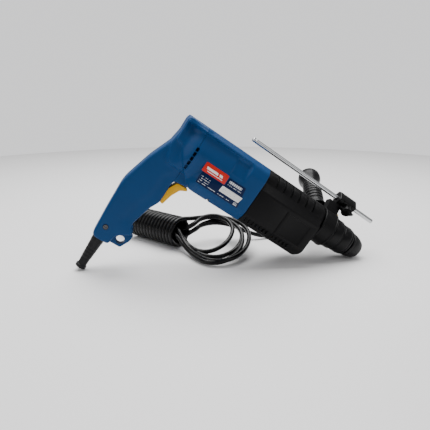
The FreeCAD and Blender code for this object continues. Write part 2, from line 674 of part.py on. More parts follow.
def controls():
    """Trigger, its spring, the switch, the lock-on button and the mode knob."""
    body = new_body("trigger", at(-S.pivot_back, 0, -S.pivot_drop))
    x, z = S.pivot_back, S.pivot_drop
    shape = [(x - 306, z - 98, 2), (x - 299.5, z - 100, 1.5), (x - 295, z - 82, 12), (x - 289, z - 70, 4),
             (x - 279.5, z - 65, 1), (x - 281, z - 62, 1), (x - 298, z - 62, 3), (x - 305, z - 76, 6)]
    pad(body, "XZ", 2 * S.trigger_half, [shape], [(0, 0, 1.5)], middle=True)
    switch, place = block("switch_body", (-345, -322), (-8, 8), (-98, -64))
    node(switch, "switch_body", place)
    turned("trigger_spring", [(0, 1.2), (0, 3), (15.8, 3), (15.8, 1.2)], at(-321.5, 0, -84))
    turned("lock_button", [(0, 0), (0, 6.5), (2.5, 6.5), (2.5, 5), (9.5, 5), (11, 4), (11, 0)],
           at(-S.button_back, S.grip_half - 7, -S.button_drop, aim=(0, 1, 0)))
    stem = S.barrel_wall + 0.6
    turned("mode_knob", [(0, 0), (0, 8.5), (3, 8.5), (3, 6.1), (3 + stem, 6.1), (3 + stem, 15),
                         (9 + stem, 14), (11 + stem, 12), (11 + stem, 0)],
           at(-S.knob_back, S.housing_half - S.barrel_wall - 3.3, -S.knob_drop, aim=(0, 1, 0)))
    clamp, place = block("cord_clamp", (-S.guard_back - 8, -S.guard_back + 8), (-12, 12), (-166, -160))
    node(clamp, "cord_clamp", place)


def screw(length, shank, head):
    """One pan-head screw along X, its head at the start."""
    profile = [Part.makeCylinder(head, 2.2, Vector(), Vector(1, 0, 0)),
               Part.makeCylinder(shank, length, Vector(), Vector(1, 0, 0))]
    cross = Part.makeBox(1.2, 0.9, head * 1.3, Vector(-0.1, -0.45, -head * 0.65))
    slot = Part.makeBox(1.2, head * 1.3, 0.9, Vector(-0.1, -head * 0.65, -0.45))
    return profile[0].fuse(profile[1]).cut(cross).cut(slot)


def moved(shape, place):
    copy = shape.copy()
    copy.Placement = place
    return copy


def screws():
    """Handle screws through both halves, and the four long screws of the gear housing."""
    half = S.grip_half.number
    low = at(-S.handle_rear - 13, -half + 0.3, -S.handle_base + 22, aim=(0, 1, 0))
    solid_node("handle_screw", moved(screw(12, 1.6, 3.4), Placement()), low)
    long = [moved(screw(30, 1.9, 3.6), at(-S.gear_front + 2.2, y, z, aim=(-1, 0, 0)))
            for y, z in SCREW_PLACES]
    solid_node("housing_screws", Part.makeCompound(long))


# ---------------------------------------------------------------- side handle

def handle_axis():
    lift = math.radians(S.handle_lift.number)
    return (0, math.cos(lift), math.sin(lift))


def side_handle():
    """Strap, bracket, grip, bolt, depth rod, its clamp and the wing screw."""
    axis = handle_axis()
    inner = S.collar_radius.number + S.running_gap.number
    outer = inner + S.strap_wall.number
    back, half = -S.strap_back.number, S.strap_half.number
    band = Part.makeCylinder(outer, 2 * half, Vector(back - half, 0, 0), Vector(1, 0, 0))
    stem = Part.makeCylinder(13, S.grip_start.number, Vector(back, 0, 0), Vector(*axis))
    up = Vector(0, S.rod_side.number, S.rod_height.number)
    reach = up.Length
    arm = Part.makeBox(2 * half - 1, 12, reach - 10, Vector(back - half + 3, -6, 0))
    arm.Placement = Placement(Vector(), Rotation(Vector(0, 0, 1), up))
    bore = Part.makeCylinder(inner, 4 * half, Vector(back - 2 * half, 0, 0), Vector(1, 0, 0))
    bolt_hole = Part.makeCylinder(4.1, 60, Vector(back, 0, 0) + Vector(*axis) * 30, Vector(*axis))
    solid_node("clamp_band", band.fuse([stem, arm]).cut(bore).cut(bolt_hole))
    start, end = S.grip_start, S.grip_end
    bulb = S.bulb_radius
    turned("side_grip", [
        (start + 0.3, 4.2), (start + 0.3, 19, 2), (start + 4, 19, 2), (start + 9, S.grip_radius - 1.5, 4),
        (start + 45, S.grip_radius + 1, 40), (end - 40, S.grip_radius - 1, 20),
        (end - 22, bulb, 8), (end - 8, bulb, 8), (end, bulb * 0.45), (end, 0), (end - 8, 0), (end - 8, 4.2)],
        at(back, 0, 0, aim=axis))
    turned("grip_bolt", [(32, 0), (32, 4), (end - 14, 4), (end - 14, 0)], at(back, 0, 0, aim=axis))
    rod = new_body("depth_rod", at(S.rod_front, S.rod_side, S.rod_height, aim=(-1, 0, 0)))
    pad(rod, "YZ", S.rod_length, circles=[(0, 0, S.rod_radius)])
    lean = 55
    clamp = new_body("rod_clamp", at(-70, S.rod_side, S.rod_height, roll=-lean))
    pad(clamp, "YZ", 32, [[(-10, -11, 3), (10, -11, 3), (10, 6, 5), (5, 12, 4), (-5, 12, 4), (-10, 6, 5)]],
        [(0, 0, S.rod_radius + 0.4)])
    doc.recompute()
    pocket(clamp, "XY", 12, circles=[(20, 0, 3.3)], offset=-16, back=True)
    aim = (0, -math.sin(math.radians(lean)), -math.cos(math.radians(lean)))
    turned("wing_screw", [(4.2, 0), (4.2, 3), (11.3, 3), (11.3, 8.5), (19, 8.5), (20, 7.5), (20, 0)],
           at(-50, S.rod_side, S.rod_height, aim=aim))


# ---------------------------------------------------------------- cord

def guard_end():
    """How far below the spindle axis the guard ends, so that its rim meets the floor."""
    return S.cap_nose - 0.6 + (S.guard_back - S.rim_radius) * S.tilt.tangent()


def cord_guard():
    """The tapered rubber sleeve under the handle, with a rim at its end."""
    length = guard_end() - S.handle_base + 14
    bore = S.cord_radius + 0.1
    turned("cord_guard", [
        (0, bore), (0, S.guard_top_radius - 0.2), (22, S.guard_top_radius - 0.2), (24, 8.2),
        (length - 5, S.guard_tip_radius), (length - 5, S.rim_radius), (length, S.rim_radius), (length, bore)],
        at(-S.guard_back, 0, -S.handle_base + 14, aim=(0, 0, -1)))


# Route points on the floor plan, from the guard's mouth: X forward, Y away, Z up.
TAIL = [(9, 0, 13.2), (0.5, 1.5, 1.2), (-1.5, 16, -0.6), (-2, 42, -0.7), (0, 80, -0.7),
        (3, 118, -0.7), (10, 152, -0.7), (28, 180, -0.7), (56, 194, -0.7), (86, 190, -0.7), (98, 172, -0.6)]
LEAD = [(262, 106, 14), (278, 103, 6), (300, 104, 0), (326, 112, -0.7), (352, 124, -0.7), (374, 134, 2.5),
        (396, 143, 9)]
HANK_AXIS = ((66, 171), (158, 74))
BACK_LOOPS = [(148, 84), (150, 108), (182, 122), (224, 126), (264, 112), (280, 76), (276, 42), (168, 42)]
FRONT_LOOPS = [(146, 60), (154, 34), (168, 2), (188, -22), (224, -27), (256, -4), (276, 36), (276, 60)]
PLUG = (396, 143, 9)


def route_path(points):
    """Straight runs joined by arcs, each as large as its two runs allow."""
    edges, radii, start = [], [], points[0]
    for before, corner, after in zip(points, points[1:], points[2:]):
        back, ahead = before - corner, after - corner
        turn = math.pi - back.getAngle(ahead)
        radius = 0.45 * min(back.Length, ahead.Length) / math.tan(turn / 2)
        reach = radius * math.tan(turn / 2)
        first = corner + back.normalize() * reach
        last = corner + ahead.normalize() * reach
        inward = (back + ahead).normalize()
        middle = corner + inward * (radius / math.cos(turn / 2) - radius)
        edges += [Part.LineSegment(start, first).toShape(), Part.Arc(first, middle, last).toShape()]
        radii.append(round(radius, 1))
        start = last
    edges.append(Part.LineSegment(start, points[-1]).toShape())
    return Part.Wire(edges), radii


def cord_tube(label, points):
    """A round tube along a route, with its volume held against section times length."""
    path, radii = route_path(points)
    radius = S.cord_radius.number
    heading = (points[1] - points[0]).normalize()
    face = Part.Wire([Part.makeCircle(radius, points[0], heading)])
    shape = path.makePipeShell([face], True, True)
    expected = math.pi * radius * radius * path.Length
    print(label, "radii", radii, "length", round(path.Length, 1), "volume share",
          round(shape.Volume / expected, 4))
    solid_node(label, shape, on_floor=True)


def mouth():
    """The guard's mouth in the turned tool frame, before the origin is set."""
    return stance().multVec(Vector(-S.guard_back.number, 0, -guard_end().number))


def on_floor(point):
    return mouth() + Vector(*point)


def loop_block(outline, floor, height):
    """The room that the loops fill, over an outline on the floor."""
    corners = [mouth() + Vector(x, y, 0) for x, y in outline]
    for corner in corners:
        corner.z = floor + 0.2
    return Part.Face(Part.makePolygon(corners + corners[:1])).extrude(Vector(0, 0, height))


def cord():
    """The tail from the guard, the bound hank, the lead to the plug, and the plug."""
    floor = stance().multVec(Vector(0, 0, 0.6 - S.cap_nose.number)).z
    cord_tube("cord_tail", [on_floor(p) for p in TAIL])
    cord_tube("cord_lead", [on_floor(p) for p in LEAD])
    ends = [mouth() + Vector(x, y, 0) for x, y in HANK_AXIS]
    radius = S.hank_radius.number
    for end in ends:
        end.z = floor + radius + 0.2
    run = ends[1] - ends[0]
    bound = Part.makeCylinder(radius, run.Length, ends[0], run)
    back = loop_block(BACK_LOOPS, floor, S.hank_height.number)
    front = loop_block(FRONT_LOOPS, floor, S.hank_height.number / 2)
    solid_node("cord_hank", bound.fuse([back, front]).removeSplitter(), on_floor=True)
    plug_place = Placement(on_floor(PLUG), Rotation(Vector(1, 0, 0), Vector(0.92, 0.38, 0.12)))
    body = new_body("plug_body", plug_place, True)
    pad(body, "YZ", 38, circles=[(0, 0, 11.5)], offset=12)
    doc.recompute()
    pad(body, "YZ", 14, circles=[(0, 0, 6)], offset=0)
    pins = [Part.makeCylinder(2.4, 19, Vector(50, y, 0), Vector(1, 0, 0)) for y in (-6.5, 6.5)]
    solid_node("plug_pins", Part.makeCompound(pins), plug_place, True)


# ---------------------------------------------------------------- the whole tool

CORD_NODES = ("cord_tail", "cord_lead", "cord_hank", "plug_body", "plug_pins")


def set_origin():
    """Moves everything so that the tool without its cord has its origin at bottom centre."""
    box = FreeCAD.BoundBox()
    for thing in nodes:
        if thing.Label not in CORD_NODES:
            box.add(thing.Shape.optimalBoundingBox(False, False))
    shift = Placement(Vector(-box.Center.x, -box.Center.y, -box.ZMin), Rotation())
    for thing in nodes:
        thing.Placement = shift.multiply(thing.Placement)
    print("origin shift", shift.Base, "tool box", box)
    chuck_tip = shift.multiply(stance()).multVec(Vector())
    print("chuck tip", chuck_tip, "mouth", shift.multVec(mouth()))


def build():
    for make in (motor_housing, gear_housing, bearing_bridge, front_collar, handle_shells, labels, spindle,
                 hammer_works, chuck, lay_shaft, wobble_ring, armature, stator, controls, screws,
                 side_handle, cord_guard, cord):
        make()
    doc.recompute()
    set_origin()
    doc.recompute()


def check():
    """Stops before anything is written if an object failed or a shape is not sound."""
    failed = [o.Name for o in doc.Objects if {"Invalid", "Error"} & set(o.State)]
    bad = [n.Label for n in nodes if n.Shape.isNull() or not n.Shape.isValid() or n.Shape.Volume <= 0]
    if failed or bad:
        raise RuntimeError("failed objects %s, unsound shapes %s" % (failed, bad))


def write():
    os.makedirs("parts", exist_ok=True)
    for thing in nodes:
        thing.Shape.exportStep("parts/%s.step" % thing.Label)
    print(len(nodes), "sub-parts written")


build()
check()
write()
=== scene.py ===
import json
import math

import bmesh
import bpy
from mathutils import Matrix, Vector


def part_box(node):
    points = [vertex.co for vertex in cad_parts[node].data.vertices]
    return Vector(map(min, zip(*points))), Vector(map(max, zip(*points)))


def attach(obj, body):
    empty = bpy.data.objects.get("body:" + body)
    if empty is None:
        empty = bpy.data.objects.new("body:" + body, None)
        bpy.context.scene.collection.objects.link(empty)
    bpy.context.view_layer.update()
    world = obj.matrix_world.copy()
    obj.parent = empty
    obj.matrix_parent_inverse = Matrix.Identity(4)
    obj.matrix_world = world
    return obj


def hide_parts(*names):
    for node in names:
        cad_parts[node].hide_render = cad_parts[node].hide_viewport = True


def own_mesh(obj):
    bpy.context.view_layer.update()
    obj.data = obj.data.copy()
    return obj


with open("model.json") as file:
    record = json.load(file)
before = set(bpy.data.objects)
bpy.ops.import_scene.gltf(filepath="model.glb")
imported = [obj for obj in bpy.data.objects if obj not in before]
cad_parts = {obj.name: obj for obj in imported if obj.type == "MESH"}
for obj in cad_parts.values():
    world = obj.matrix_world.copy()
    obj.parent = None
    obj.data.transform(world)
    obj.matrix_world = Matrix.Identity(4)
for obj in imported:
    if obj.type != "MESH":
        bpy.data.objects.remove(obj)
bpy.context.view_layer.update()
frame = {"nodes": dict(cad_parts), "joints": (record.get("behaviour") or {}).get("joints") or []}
NODES = frame["nodes"]

# The tool's own axes: X forward along the spindle, Z up from it, Y to the side handle's side.
SPINDLE = next(Vector(j["axis"]) for j in frame["joints"] if j["name"] == "spindle_spin").normalized()
SPINDLE = SPINDLE if SPINDLE.x > 0 else -SPINDLE
TILT = math.atan2(-SPINDLE.z, SPINDLE.x)
RISE = Vector((math.sin(TILT), 0, math.cos(TILT)))
MM = 0.001


def chuck_face():
    """The centre of the chuck's front face, read from its cap."""
    points = [v.co for v in NODES["front_cap"].data.vertices]
    low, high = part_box("front_cap")
    ahead = max(p @ SPINDLE for p in points)
    rise = [p @ RISE for p in points]
    return SPINDLE * ahead + RISE * (min(rise) + max(rise)) / 2 + Vector((0, (low.y + high.y) / 2, 0))


TIP = chuck_face()
TOOL = Matrix.Translation(TIP) @ Matrix.Rotation(TILT, 4, "Y") @ Matrix.Scale(MM, 4)


# ---------------------------------------------------------------- camera

def set_camera():
    """A long look from the chuck's left, a little above."""
    bpy.ops.object.camera_add(location=(-0.10954, -0.71101, 0.25658))
    camera = bpy.context.object
    camera.rotation_mode = "QUATERNION"
    camera.rotation_quaternion = Vector((0.12344, 0.95568, -0.26724)).to_track_quat("-Z", "Y")
    camera.data.sensor_width = 36
    camera.data.lens = 38.0
    bpy.context.scene.camera = camera


set_camera()


# ---------------------------------------------------------------- finishes

class Wire:
    """A socket that can be written with in sums."""

    def __init__(self, finish, socket):
        self.finish, self.socket = finish, socket

    def __add__(self, other):
        return self.finish.maths("ADD", self, other)

    def __radd__(self, other):
        return self.finish.maths("ADD", other, self)

    def __sub__(self, other):
        return self.finish.maths("SUBTRACT", self, other)

    def __rsub__(self, other):
        return self.finish.maths("SUBTRACT", other, self)

    def __mul__(self, other):
        return self.finish.maths("MULTIPLY", self, other)

    def __rmul__(self, other):
        return self.finish.maths("MULTIPLY", other, self)

    def __truediv__(self, other):
        return self.finish.maths("DIVIDE", self, other)

    def __gt__(self, other):
        return self.finish.maths("GREATER_THAN", self, other)

    def __lt__(self, other):
        return self.finish.maths("LESS_THAN", self, other)


class Finish:
    """One procedural material on the tool's own axes."""

    def __init__(self, name, **constants):
        self.material = bpy.data.materials.new(name)
        self.material.use_nodes = True
        self.tree = self.material.node_tree
        self.shader = next(n for n in self.tree.nodes if n.type == "BSDF_PRINCIPLED")
        for key, value in constants.items():
            self.feed(key.replace("_", " "), value)
        where = self.make("TexCoord").outputs["Object"]
        self.place = Wire(self, self.make(
            "Mapping", {"vector_type": "TEXTURE"},
            {"Vector": Wire(self, where), "Location": TIP, "Rotation": (0, TILT, 0)}).outputs[0])

    def make(self, kind, settings=(), values=()):
        """Adds a node, sets it, then fills or links its sockets."""
        node = self.tree.nodes.new("ShaderNode" + kind)
        for key, value in dict(settings).items():
            if key == "stops":
                for i, (position, colour) in enumerate(value):
                    stop = node.color_ramp.elements[i] if i < 2 else node.color_ramp.elements.new(position)
                    stop.position, stop.color = position, colour
            else:
                setattr(node, key, value)
        for key, value in dict(values).items():
            if isinstance(value, Wire):
                self.tree.links.new(value.socket, node.inputs[key])
            else:
                node.inputs[key].default_value = value
        return node

    def feed(self, key, value):
        if isinstance(value, Wire):
            self.tree.links.new(value.socket, self.shader.inputs[key])
        else:
            self.shader.inputs[key].default_value = value

    def maths(self, operation, *values):
        node = self.make("Math", {"operation": operation}, enumerate(values))
        return Wire(self, node.outputs[0])

    def spread(self, value, low, high, to_low=0.0, to_high=1.0):
        """Maps a range of one value smoothly to another."""
        node = self.make("MapRange", {"interpolation_type": "SMOOTHSTEP"},
                         {"Value": value, "From Min": low, "From Max": high,
                          "To Min": to_low, "To Max": to_high})
        return Wire(self, node.outputs[0])

    def stretched(self, x, y, z):
        """The tool's place with each axis scaled, so that a pattern runs one way."""
        node = self.make("VectorMath", {"operation": "MULTIPLY"}, {0: self.place, 1: (x, y, z)})
        return Wire(self, node.outputs[0])

    def noise(self, scale, detail=3.0, rough=0.5, where=None):
        node = self.make("TexNoise", (), {"Vector": where or self.place, "Scale": scale,
                                          "Detail": detail, "Roughness": rough})
        return Wire(self, node.outputs[0])

    def cells(self, scale, where=None):
        node = self.make("TexVoronoi", (), {"Vector": where or self.place, "Scale": scale})
        return Wire(self, node.outputs["Distance"])

    def stripes(self, scale, along="X", where=None):
        node = self.make("TexWave", {"bands_direction": along},
                         {"Vector": where or self.place, "Scale": scale})
        return Wire(self, node.outputs["Fac"])

    def axes(self):
        """The tool's X, Y and Z in millimetres."""
        node = self.make("SeparateXYZ", (), {0: self.place})
        return [Wire(self, node.outputs[i]) * 1000 for i in range(3)]

    def facing_up(self):
        normal = Wire(self, self.make("NewGeometry").outputs["Normal"])
        return Wire(self, self.make("SeparateXYZ", (), {0: normal}).outputs[2])

    def mix(self, first, second, share):
        node = self.make("Mix", {"data_type": "RGBA"}, {0: share, 6: first, 7: second})
        return Wire(self, node.outputs[2])

    def bump(self, height, depth, strength=1.0, under=None):
        values = {"Strength": strength, "Distance": depth, "Height": height}
        if under:
            values["Normal"] = under
        return Wire(self, self.make("Bump", (), values).outputs[0])


def shade(colour, factor):
    return tuple(min(1, c * factor) for c in colour[:3]) + (1,)


def moulded(name, colour, rough=0.42, grain=0.00006, size=900, dust=0.1, dusty=(0.55, 0.55, 0.53, 1),
            shine=0.14):
    """Injection-moulded plastic: spark-eroded grain, flow marks, rubbed and dusty places."""
    f = Finish(name, IOR=1.5, Specular_IOR_Level=shine)
    clouds = f.noise(18, 4)
    pits = f.noise(size, 2, 0.6)
    rubs = f.spread(f.noise(60, 6, 0.7, f.stretched(0.35, 1, 1)), 0.52, 0.75)
    scratch = f.spread(f.noise(90, 3, 0.6, f.stretched(0.12, 2.5, 6)), 0.66, 0.74)
    settled = f.spread(f.facing_up(), 0.35, 1.0) * f.spread(f.noise(120, 5), 0.4, 0.75) * dust
    base = f.mix(shade(colour, 0.88), shade(colour, 1.1), clouds)
    base = f.mix(base, shade(colour, 1.35), scratch * 0.35)
    base = f.mix(base, dusty, settled)
    f.feed("Base Color", base)
    f.feed("Roughness", rough + (clouds - 0.5) * 0.12 + settled * 0.6 - rubs * 0.1 + (pits - 0.5) * 0.08)
    fine = f.bump(pits, grain)
    f.feed("Normal", f.bump(scratch * -1 + 1, grain * 1.5, 0.6, fine))
    return f


def rubbery(name, colour=(0.006, 0.006, 0.0065, 1), rough=0.42, talc=0.04):
    """Black rubber with a worn sheen and pale rubbed-in dust."""
    f = Finish(name, IOR=1.5, Specular_IOR_Level=0.2)
    clouds = f.noise(35, 5, 0.6)
    marks = f.spread(f.noise(300, 4, 0.7), 0.55, 0.72)
    settled = f.spread(f.facing_up(), 0.1, 1.0) * marks * talc
    f.feed("Base Color", f.mix(f.mix(shade(colour, 0.7), shade(colour, 1.6), clouds), (0.3, 0.3, 0.29, 1),
                               settled))
    f.feed("Roughness", rough + (clouds - 0.5) * 0.2 + marks * 0.12)
    f.feed("Normal", f.bump(f.noise(1400, 3, 0.6) + marks * 0.3, 0.00005))
    return f


def metal(name, colour, rough=0.25, along=(0.04, 1, 1), lines=2500, stain=0.25):
    """Machined or plated metal: tool lines one way, cloudy tarnish and small nicks."""
    f = Finish(name, Metallic=1.0)
    brushed = f.noise(lines, 2, 0.6, f.stretched(*along))
    clouds = f.noise(40, 5, 0.6)
    nicks = f.spread(f.cells(350), 0.0, 0.09, 1.0, 0.0) * f.spread(f.noise(70, 2), 0.55, 0.6)
    tarnish = f.spread(clouds, 0.45, 0.8) * stain
    f.feed("Base Color", f.mix(f.mix(shade(colour, 0.85), shade(colour, 1.05), brushed),
                               shade(colour, 0.55), tarnish))
    f.feed("Roughness", rough + (brushed - 0.5) * 0.12 + tarnish * 0.5 + nicks * 0.2)
    f.feed("Normal", f.bump(brushed - nicks * 2, 0.00003))
    return f


def layered(name, colour, pitch, rough=0.5, metallic=1.0, along="X"):
    """Thin sheets or windings side by side, such as stacked laminations or coil wire."""
    f = Finish(name, Metallic=metallic)
    lines = f.stripes(pitch, along)
    clouds = f.noise(90, 4)
    f.feed("Base Color", f.mix(shade(colour, 0.4), f.mix(shade(colour, 0.85), shade(colour, 1.15), clouds),
                               f.spread(lines, 0.05, 0.4)))
    f.feed("Roughness", rough + (clouds - 0.5) * 0.2)
    f.feed("Normal", f.bump(lines, 0.00012))
    return f


def sooty(name):
    """Pressed carbon: matt, grainy and faintly sparkling."""
    f = Finish(name)
    grains = f.noise(2200, 3, 0.8)
    f.feed("Base Color", f.mix((0.012, 0.012, 0.012, 1), (0.06, 0.06, 0.065, 1),
                               f.spread(grains, 0.5, 0.8)))
    f.feed("Roughness", 0.75 - f.spread(grains, 0.6, 0.8) * 0.3)
    f.feed("Normal", f.bump(grains, 0.00008))
    return f


def window(value, low, high):
    """One between two bounds and nothing outside them."""
    return (value > low) * (value < high)


def printed_plate(name):
    """The dark rating plate: pale rows like small print, a bold row, and a patch of squares."""
    f = Finish(name, IOR=1.5, Specular_IOR_Level=0.12)
    x, _, z = f.axes()
    row = f.maths("FLOOR", (z + 45) / 3.1)
    across = f.make("CombineXYZ", (), {0: x * 0.7, 1: row * 7.3})
    words = f.spread(f.noise(1.0, 1, 0.5, Wire(f, across.outputs[0])), 0.47, 0.51)
    rows = window(f.maths("FRACT", (z + 45) / 3.1), 0.38, 0.66) * words * (
        window(x, -281, -266) * window(z, -38.5, -28.5) + window(x, -281, -228) * window(z, -42, -38.5))
    bold = window(z, -19.5, -15.6) * window(x, -243, -222) * window(f.maths("FRACT", x / 3.1), 0.16, 0.9)
    thin = window(z, -22.6, -21.6) * window(x, -243, -220) * words
    squares = (f.noise(1.0, 0, 0.5, Wire(f, f.make("CombineXYZ", (), {
        0: f.maths("FLOOR", x / 0.8) * 3.7, 1: f.maths("FLOOR", z / 0.8) * 5.1}).outputs[0])) > 0.5)
    patch = window(x, -221.5, -216) * window(z, -41.5, -37.5) * squares
    ink = f.maths("MINIMUM", rows + bold + thin + patch, 1.0)
    clouds = f.noise(60, 4)
    f.feed("Base Color", f.mix(f.mix((0.0012, 0.008, 0.042, 1), (0.002, 0.012, 0.058, 1), clouds),
                               (0.6, 0.62, 0.65, 1), ink))
    f.feed("Roughness", 0.38 + (clouds - 0.5) * 0.15)
    f.feed("Normal", f.bump(ink * 0.2 + f.noise(700, 2) * 0.2, 0.00005))
    return f


def badge_red(name):
    """The red badge, with a plain mark of two slanted bars over a thin line."""
    f = Finish(name, IOR=1.5, Specular_IOR_Level=0.25)
    x, _, z = f.axes()
    slant = x + (z + 18) * 0.35
    bars = (window(slant, -280, -262) + window(slant, -259.5, -254.5)) * window(z, -19.6, -16.2)
    line = window(slant, -279, -254) * window(z, -22.3, -21.4)
    ink = f.maths("MINIMUM", bars + line, 1.0)
    clouds = f.noise(80, 4)
    f.feed("Base Color", f.mix(f.mix((0.48, 0.010, 0.006, 1), (0.6, 0.018, 0.010, 1), clouds),
                               (0.85, 0.84, 0.82, 1), ink))
    f.feed("Roughness", 0.3 + (clouds - 0.5) * 0.15)
    f.feed("Normal", f.bump(ink * 0.3 + f.noise(500, 2) * 0.2, 0.00006))
    return f


def paper_white(name):
    """The white sticker, a little grubby, with two faint grey rows."""
    f = Finish(name, IOR=1.45)
    x, _, z = f.axes()
    clouds = f.noise(90, 5)
    rows = window(f.maths("FRACT", z / 2.9), 0.25, 0.45) * window(x, -245, -224) * (f.noise(900, 1) > 0.46)
    f.feed("Base Color", f.mix(f.mix((0.72, 0.72, 0.7, 1), (0.84, 0.84, 0.82, 1), clouds),
                               (0.3, 0.3, 0.32, 1), rows * 0.6))
    f.feed("Roughness", 0.55 + (clouds - 0.5) * 0.2)
    f.feed("Normal", f.bump(f.noise(1500, 3), 0.00003))
    return f


BLUE = (0.0025, 0.044, 0.145, 1)
BLACK = (0.0022, 0.0022, 0.0026, 1)
blue_plastic = moulded("blue_plastic", BLUE, 0.4, dust=0.02)
black_plastic = moulded("black_plastic", BLACK, 0.46, 0.00009, 700, 0.03, (0.2, 0.19, 0.18, 1), 0.14)
glossy_black = moulded("satin_black_plastic", (0.0022, 0.0022, 0.0026, 1), 0.34, 0.00003, 1200, 0.03,
                       (0.2, 0.2, 0.2, 1), 0.16)
yellow_plastic = moulded("yellow_plastic", (0.8, 0.42, 0.015, 1), 0.38, 0.00004, 1000, 0.05)
dark_rubber = rubbery("dark_rubber")
cord_rubber = rubbery("cord_rubber", (0.003, 0.003, 0.0033, 1), 0.24, 0.01)
chrome = metal("bright_plating", (0.6, 0.61, 0.62, 1), 0.2, (0.03, 1, 1), 2500, 0.1)
zinc = metal("zinc_plating", (0.62, 0.63, 0.62, 1), 0.3, (1, 1, 1), 1200, 0.35)
# Metal for the handle screw, darkened as painted shade of the deep hole it sits in.
shade_darkened_zinc = metal("screw_painted_shade", (0.09, 0.09, 0.095, 1), 0.35, (1, 1, 1), 1200, 0.35)
steel = metal("machined_steel", (0.5, 0.5, 0.51, 1), 0.28, (1, 0.05, 0.05), 3000, 0.3)
cast = metal("cast_aluminium", (0.55, 0.55, 0.56, 1), 0.5, (1, 1, 1), 700, 0.3)
brass = metal("brass", (0.75, 0.55, 0.22, 1), 0.28, (0.1, 1, 1), 1500, 0.35)
lamination = layered("lamination_steel", (0.33, 0.32, 0.31, 1), 320, 0.45)
copper_wire = layered("copper_wire", (0.72, 0.3, 0.14, 1), 260, 0.35, 1.0, "Y")
copper_bars = metal("copper_bars", (0.75, 0.36, 0.2, 1), 0.3, (0.05, 1, 1), 1800, 0.4)
spring_steel = metal("spring_steel", (0.42, 0.42, 0.44, 1), 0.3, (1, 1, 1), 1600, 0.2)
carbon = sooty("pressed_carbon")
plate_ink = printed_plate("rating_print")
badge_ink = badge_red("badge_enamel")
sticker = paper_white("white_sticker")
inside_black = moulded("inner_black_plastic", (0.02, 0.02, 0.021, 1), 0.5, 0.00006, 900, 0.0)


# ---------------------------------------------------------------- the cord

def tool_point(x, y, z):
    return TOOL @ Vector((x, y, z))


# The binding runs 13 and a half turns, each in twelve steps.
GUARD_BACK, CORD_RADIUS, BINDING_STEPS = 349, 3.7, 162
GUARD_END = 13.1 + (GUARD_BACK - 8) * math.tan(TILT)
MOUTH = tool_point(-GUARD_BACK, 0, -GUARD_END)

# Route points from the guard's mouth, in millimetres: X forward, Y away, Z up.
TAIL = [(9, 0, 13.2), (0.5, 1.5, 1.2), (-1.5, 16, -0.6), (-2, 42, -0.7), (0, 80, -0.7),
        (3, 118, -0.7), (10, 152, -0.7), (28, 180, -0.7), (56, 194, -0.7), (86, 190, -0.7), (99, 172, -0.5)]
BOUND_START, BOUND_END = Vector((66, 171, 21.7)), Vector((158, 74, 21.7))
ALONG = (BOUND_END - BOUND_START).normalized()
AWAY = Vector((-ALONG.y, ALONG.x, 0))
FAR_SIDE = [(177, 77, 31), (192, 98, 36), (222, 114, 36), (252, 104, 31), (268, 72, 23)]
NEAR_SIDE = [(264, 38, 13), (247, 4, 5.5), (218, -17, 0), (190, -12, -0.5), (170, 22, 0.6), (157, 54, 7)]
LEAD = [(176, 76, 26), (190, 94, 29), (218, 108, 28), (248, 110, 20), (274, 104, 8), (300, 104, 0),
        (326, 112, -0.7), (352, 124, -0.7), (374, 134, 2.5), (396, 143, 9)]
# For each loop: aside and above the bundle's line, size far and near, raised far and near, leaning.
LOOPS = [(6.5, 9.5, 1.00, 0.97, 0, 4, 0), (13.5, 1.8, 0.86, 1.0, 4, 0, -5),
         (4.6, 1.8, 0.97, 0.48, 5, 8, -2), (12.0, -6.0, 0.95, 0.74, -8, 7, 3),
         (5.0, -12.5, 0.80, 0.80, -9, 3, -2)]


def bundle_point(along, aside, above):
    return BOUND_START + ALONG * along + AWAY * aside + Vector((0, 0, above))


def binding_turns():
    """The turns that tie the hank, twelve points to a turn."""
    reach = 22.3 / math.cos(math.pi / 12)
    points = []
    for step in range(BINDING_STEPS + 1):
        angle = -math.radians(90 + 30 * step)
        points.append(bundle_point(24 + 7.6 * step / 12, reach * math.cos(angle), reach * math.sin(angle)))
    return points


def loop_points():
    """Each loop leaves the binding, fans out, comes back and folds at the far end."""
    points = []
    for turn, (aside, above, far, near, far_rise, near_rise, lean) in enumerate(LOOPS):
        if turn:
            points += [bundle_point(62, aside, above), bundle_point(100, aside, above),
                       bundle_point(124, aside * 0.9, above)]
        if turn == len(LOOPS) - 1:
            return points + [Vector(p) for p in LEAD]
        oval = (FAR_SIDE if turn else [(174, 88, 42), (194, 104, 39)] + FAR_SIDE[2:]) + NEAR_SIDE
        for i, (x, y, z) in enumerate(oval):
            share = i / (len(oval) - 1)
            size = far + (near - far) * share
            rise = z + far_rise * (1 - share) + near_rise * share
            points.append(Vector((BOUND_END.x + (x - BOUND_END.x) * size + lean * math.sin(math.pi * share),
                                  BOUND_END.y + (y - BOUND_END.y) * size + lean / 2, max(rise, -0.5))))
        points += [bundle_point(s, -aside, above) for s in (126, 100, 62)]
        next_aside, next_above = LOOPS[turn + 1][:2]
        wide = max(aside, next_aside, 10) + 4
        points += [bundle_point(*p) for p in (
            (34, -aside, above), (14, -wide, above), (-2, -wide * 0.8, (above * 2 + next_above) / 3),
            (-8, 0, (above + next_above) / 2), (-2, wide * 0.8, (above + 2 * next_above) / 3),
            (14, wide, next_above), (34, next_aside, next_above))]


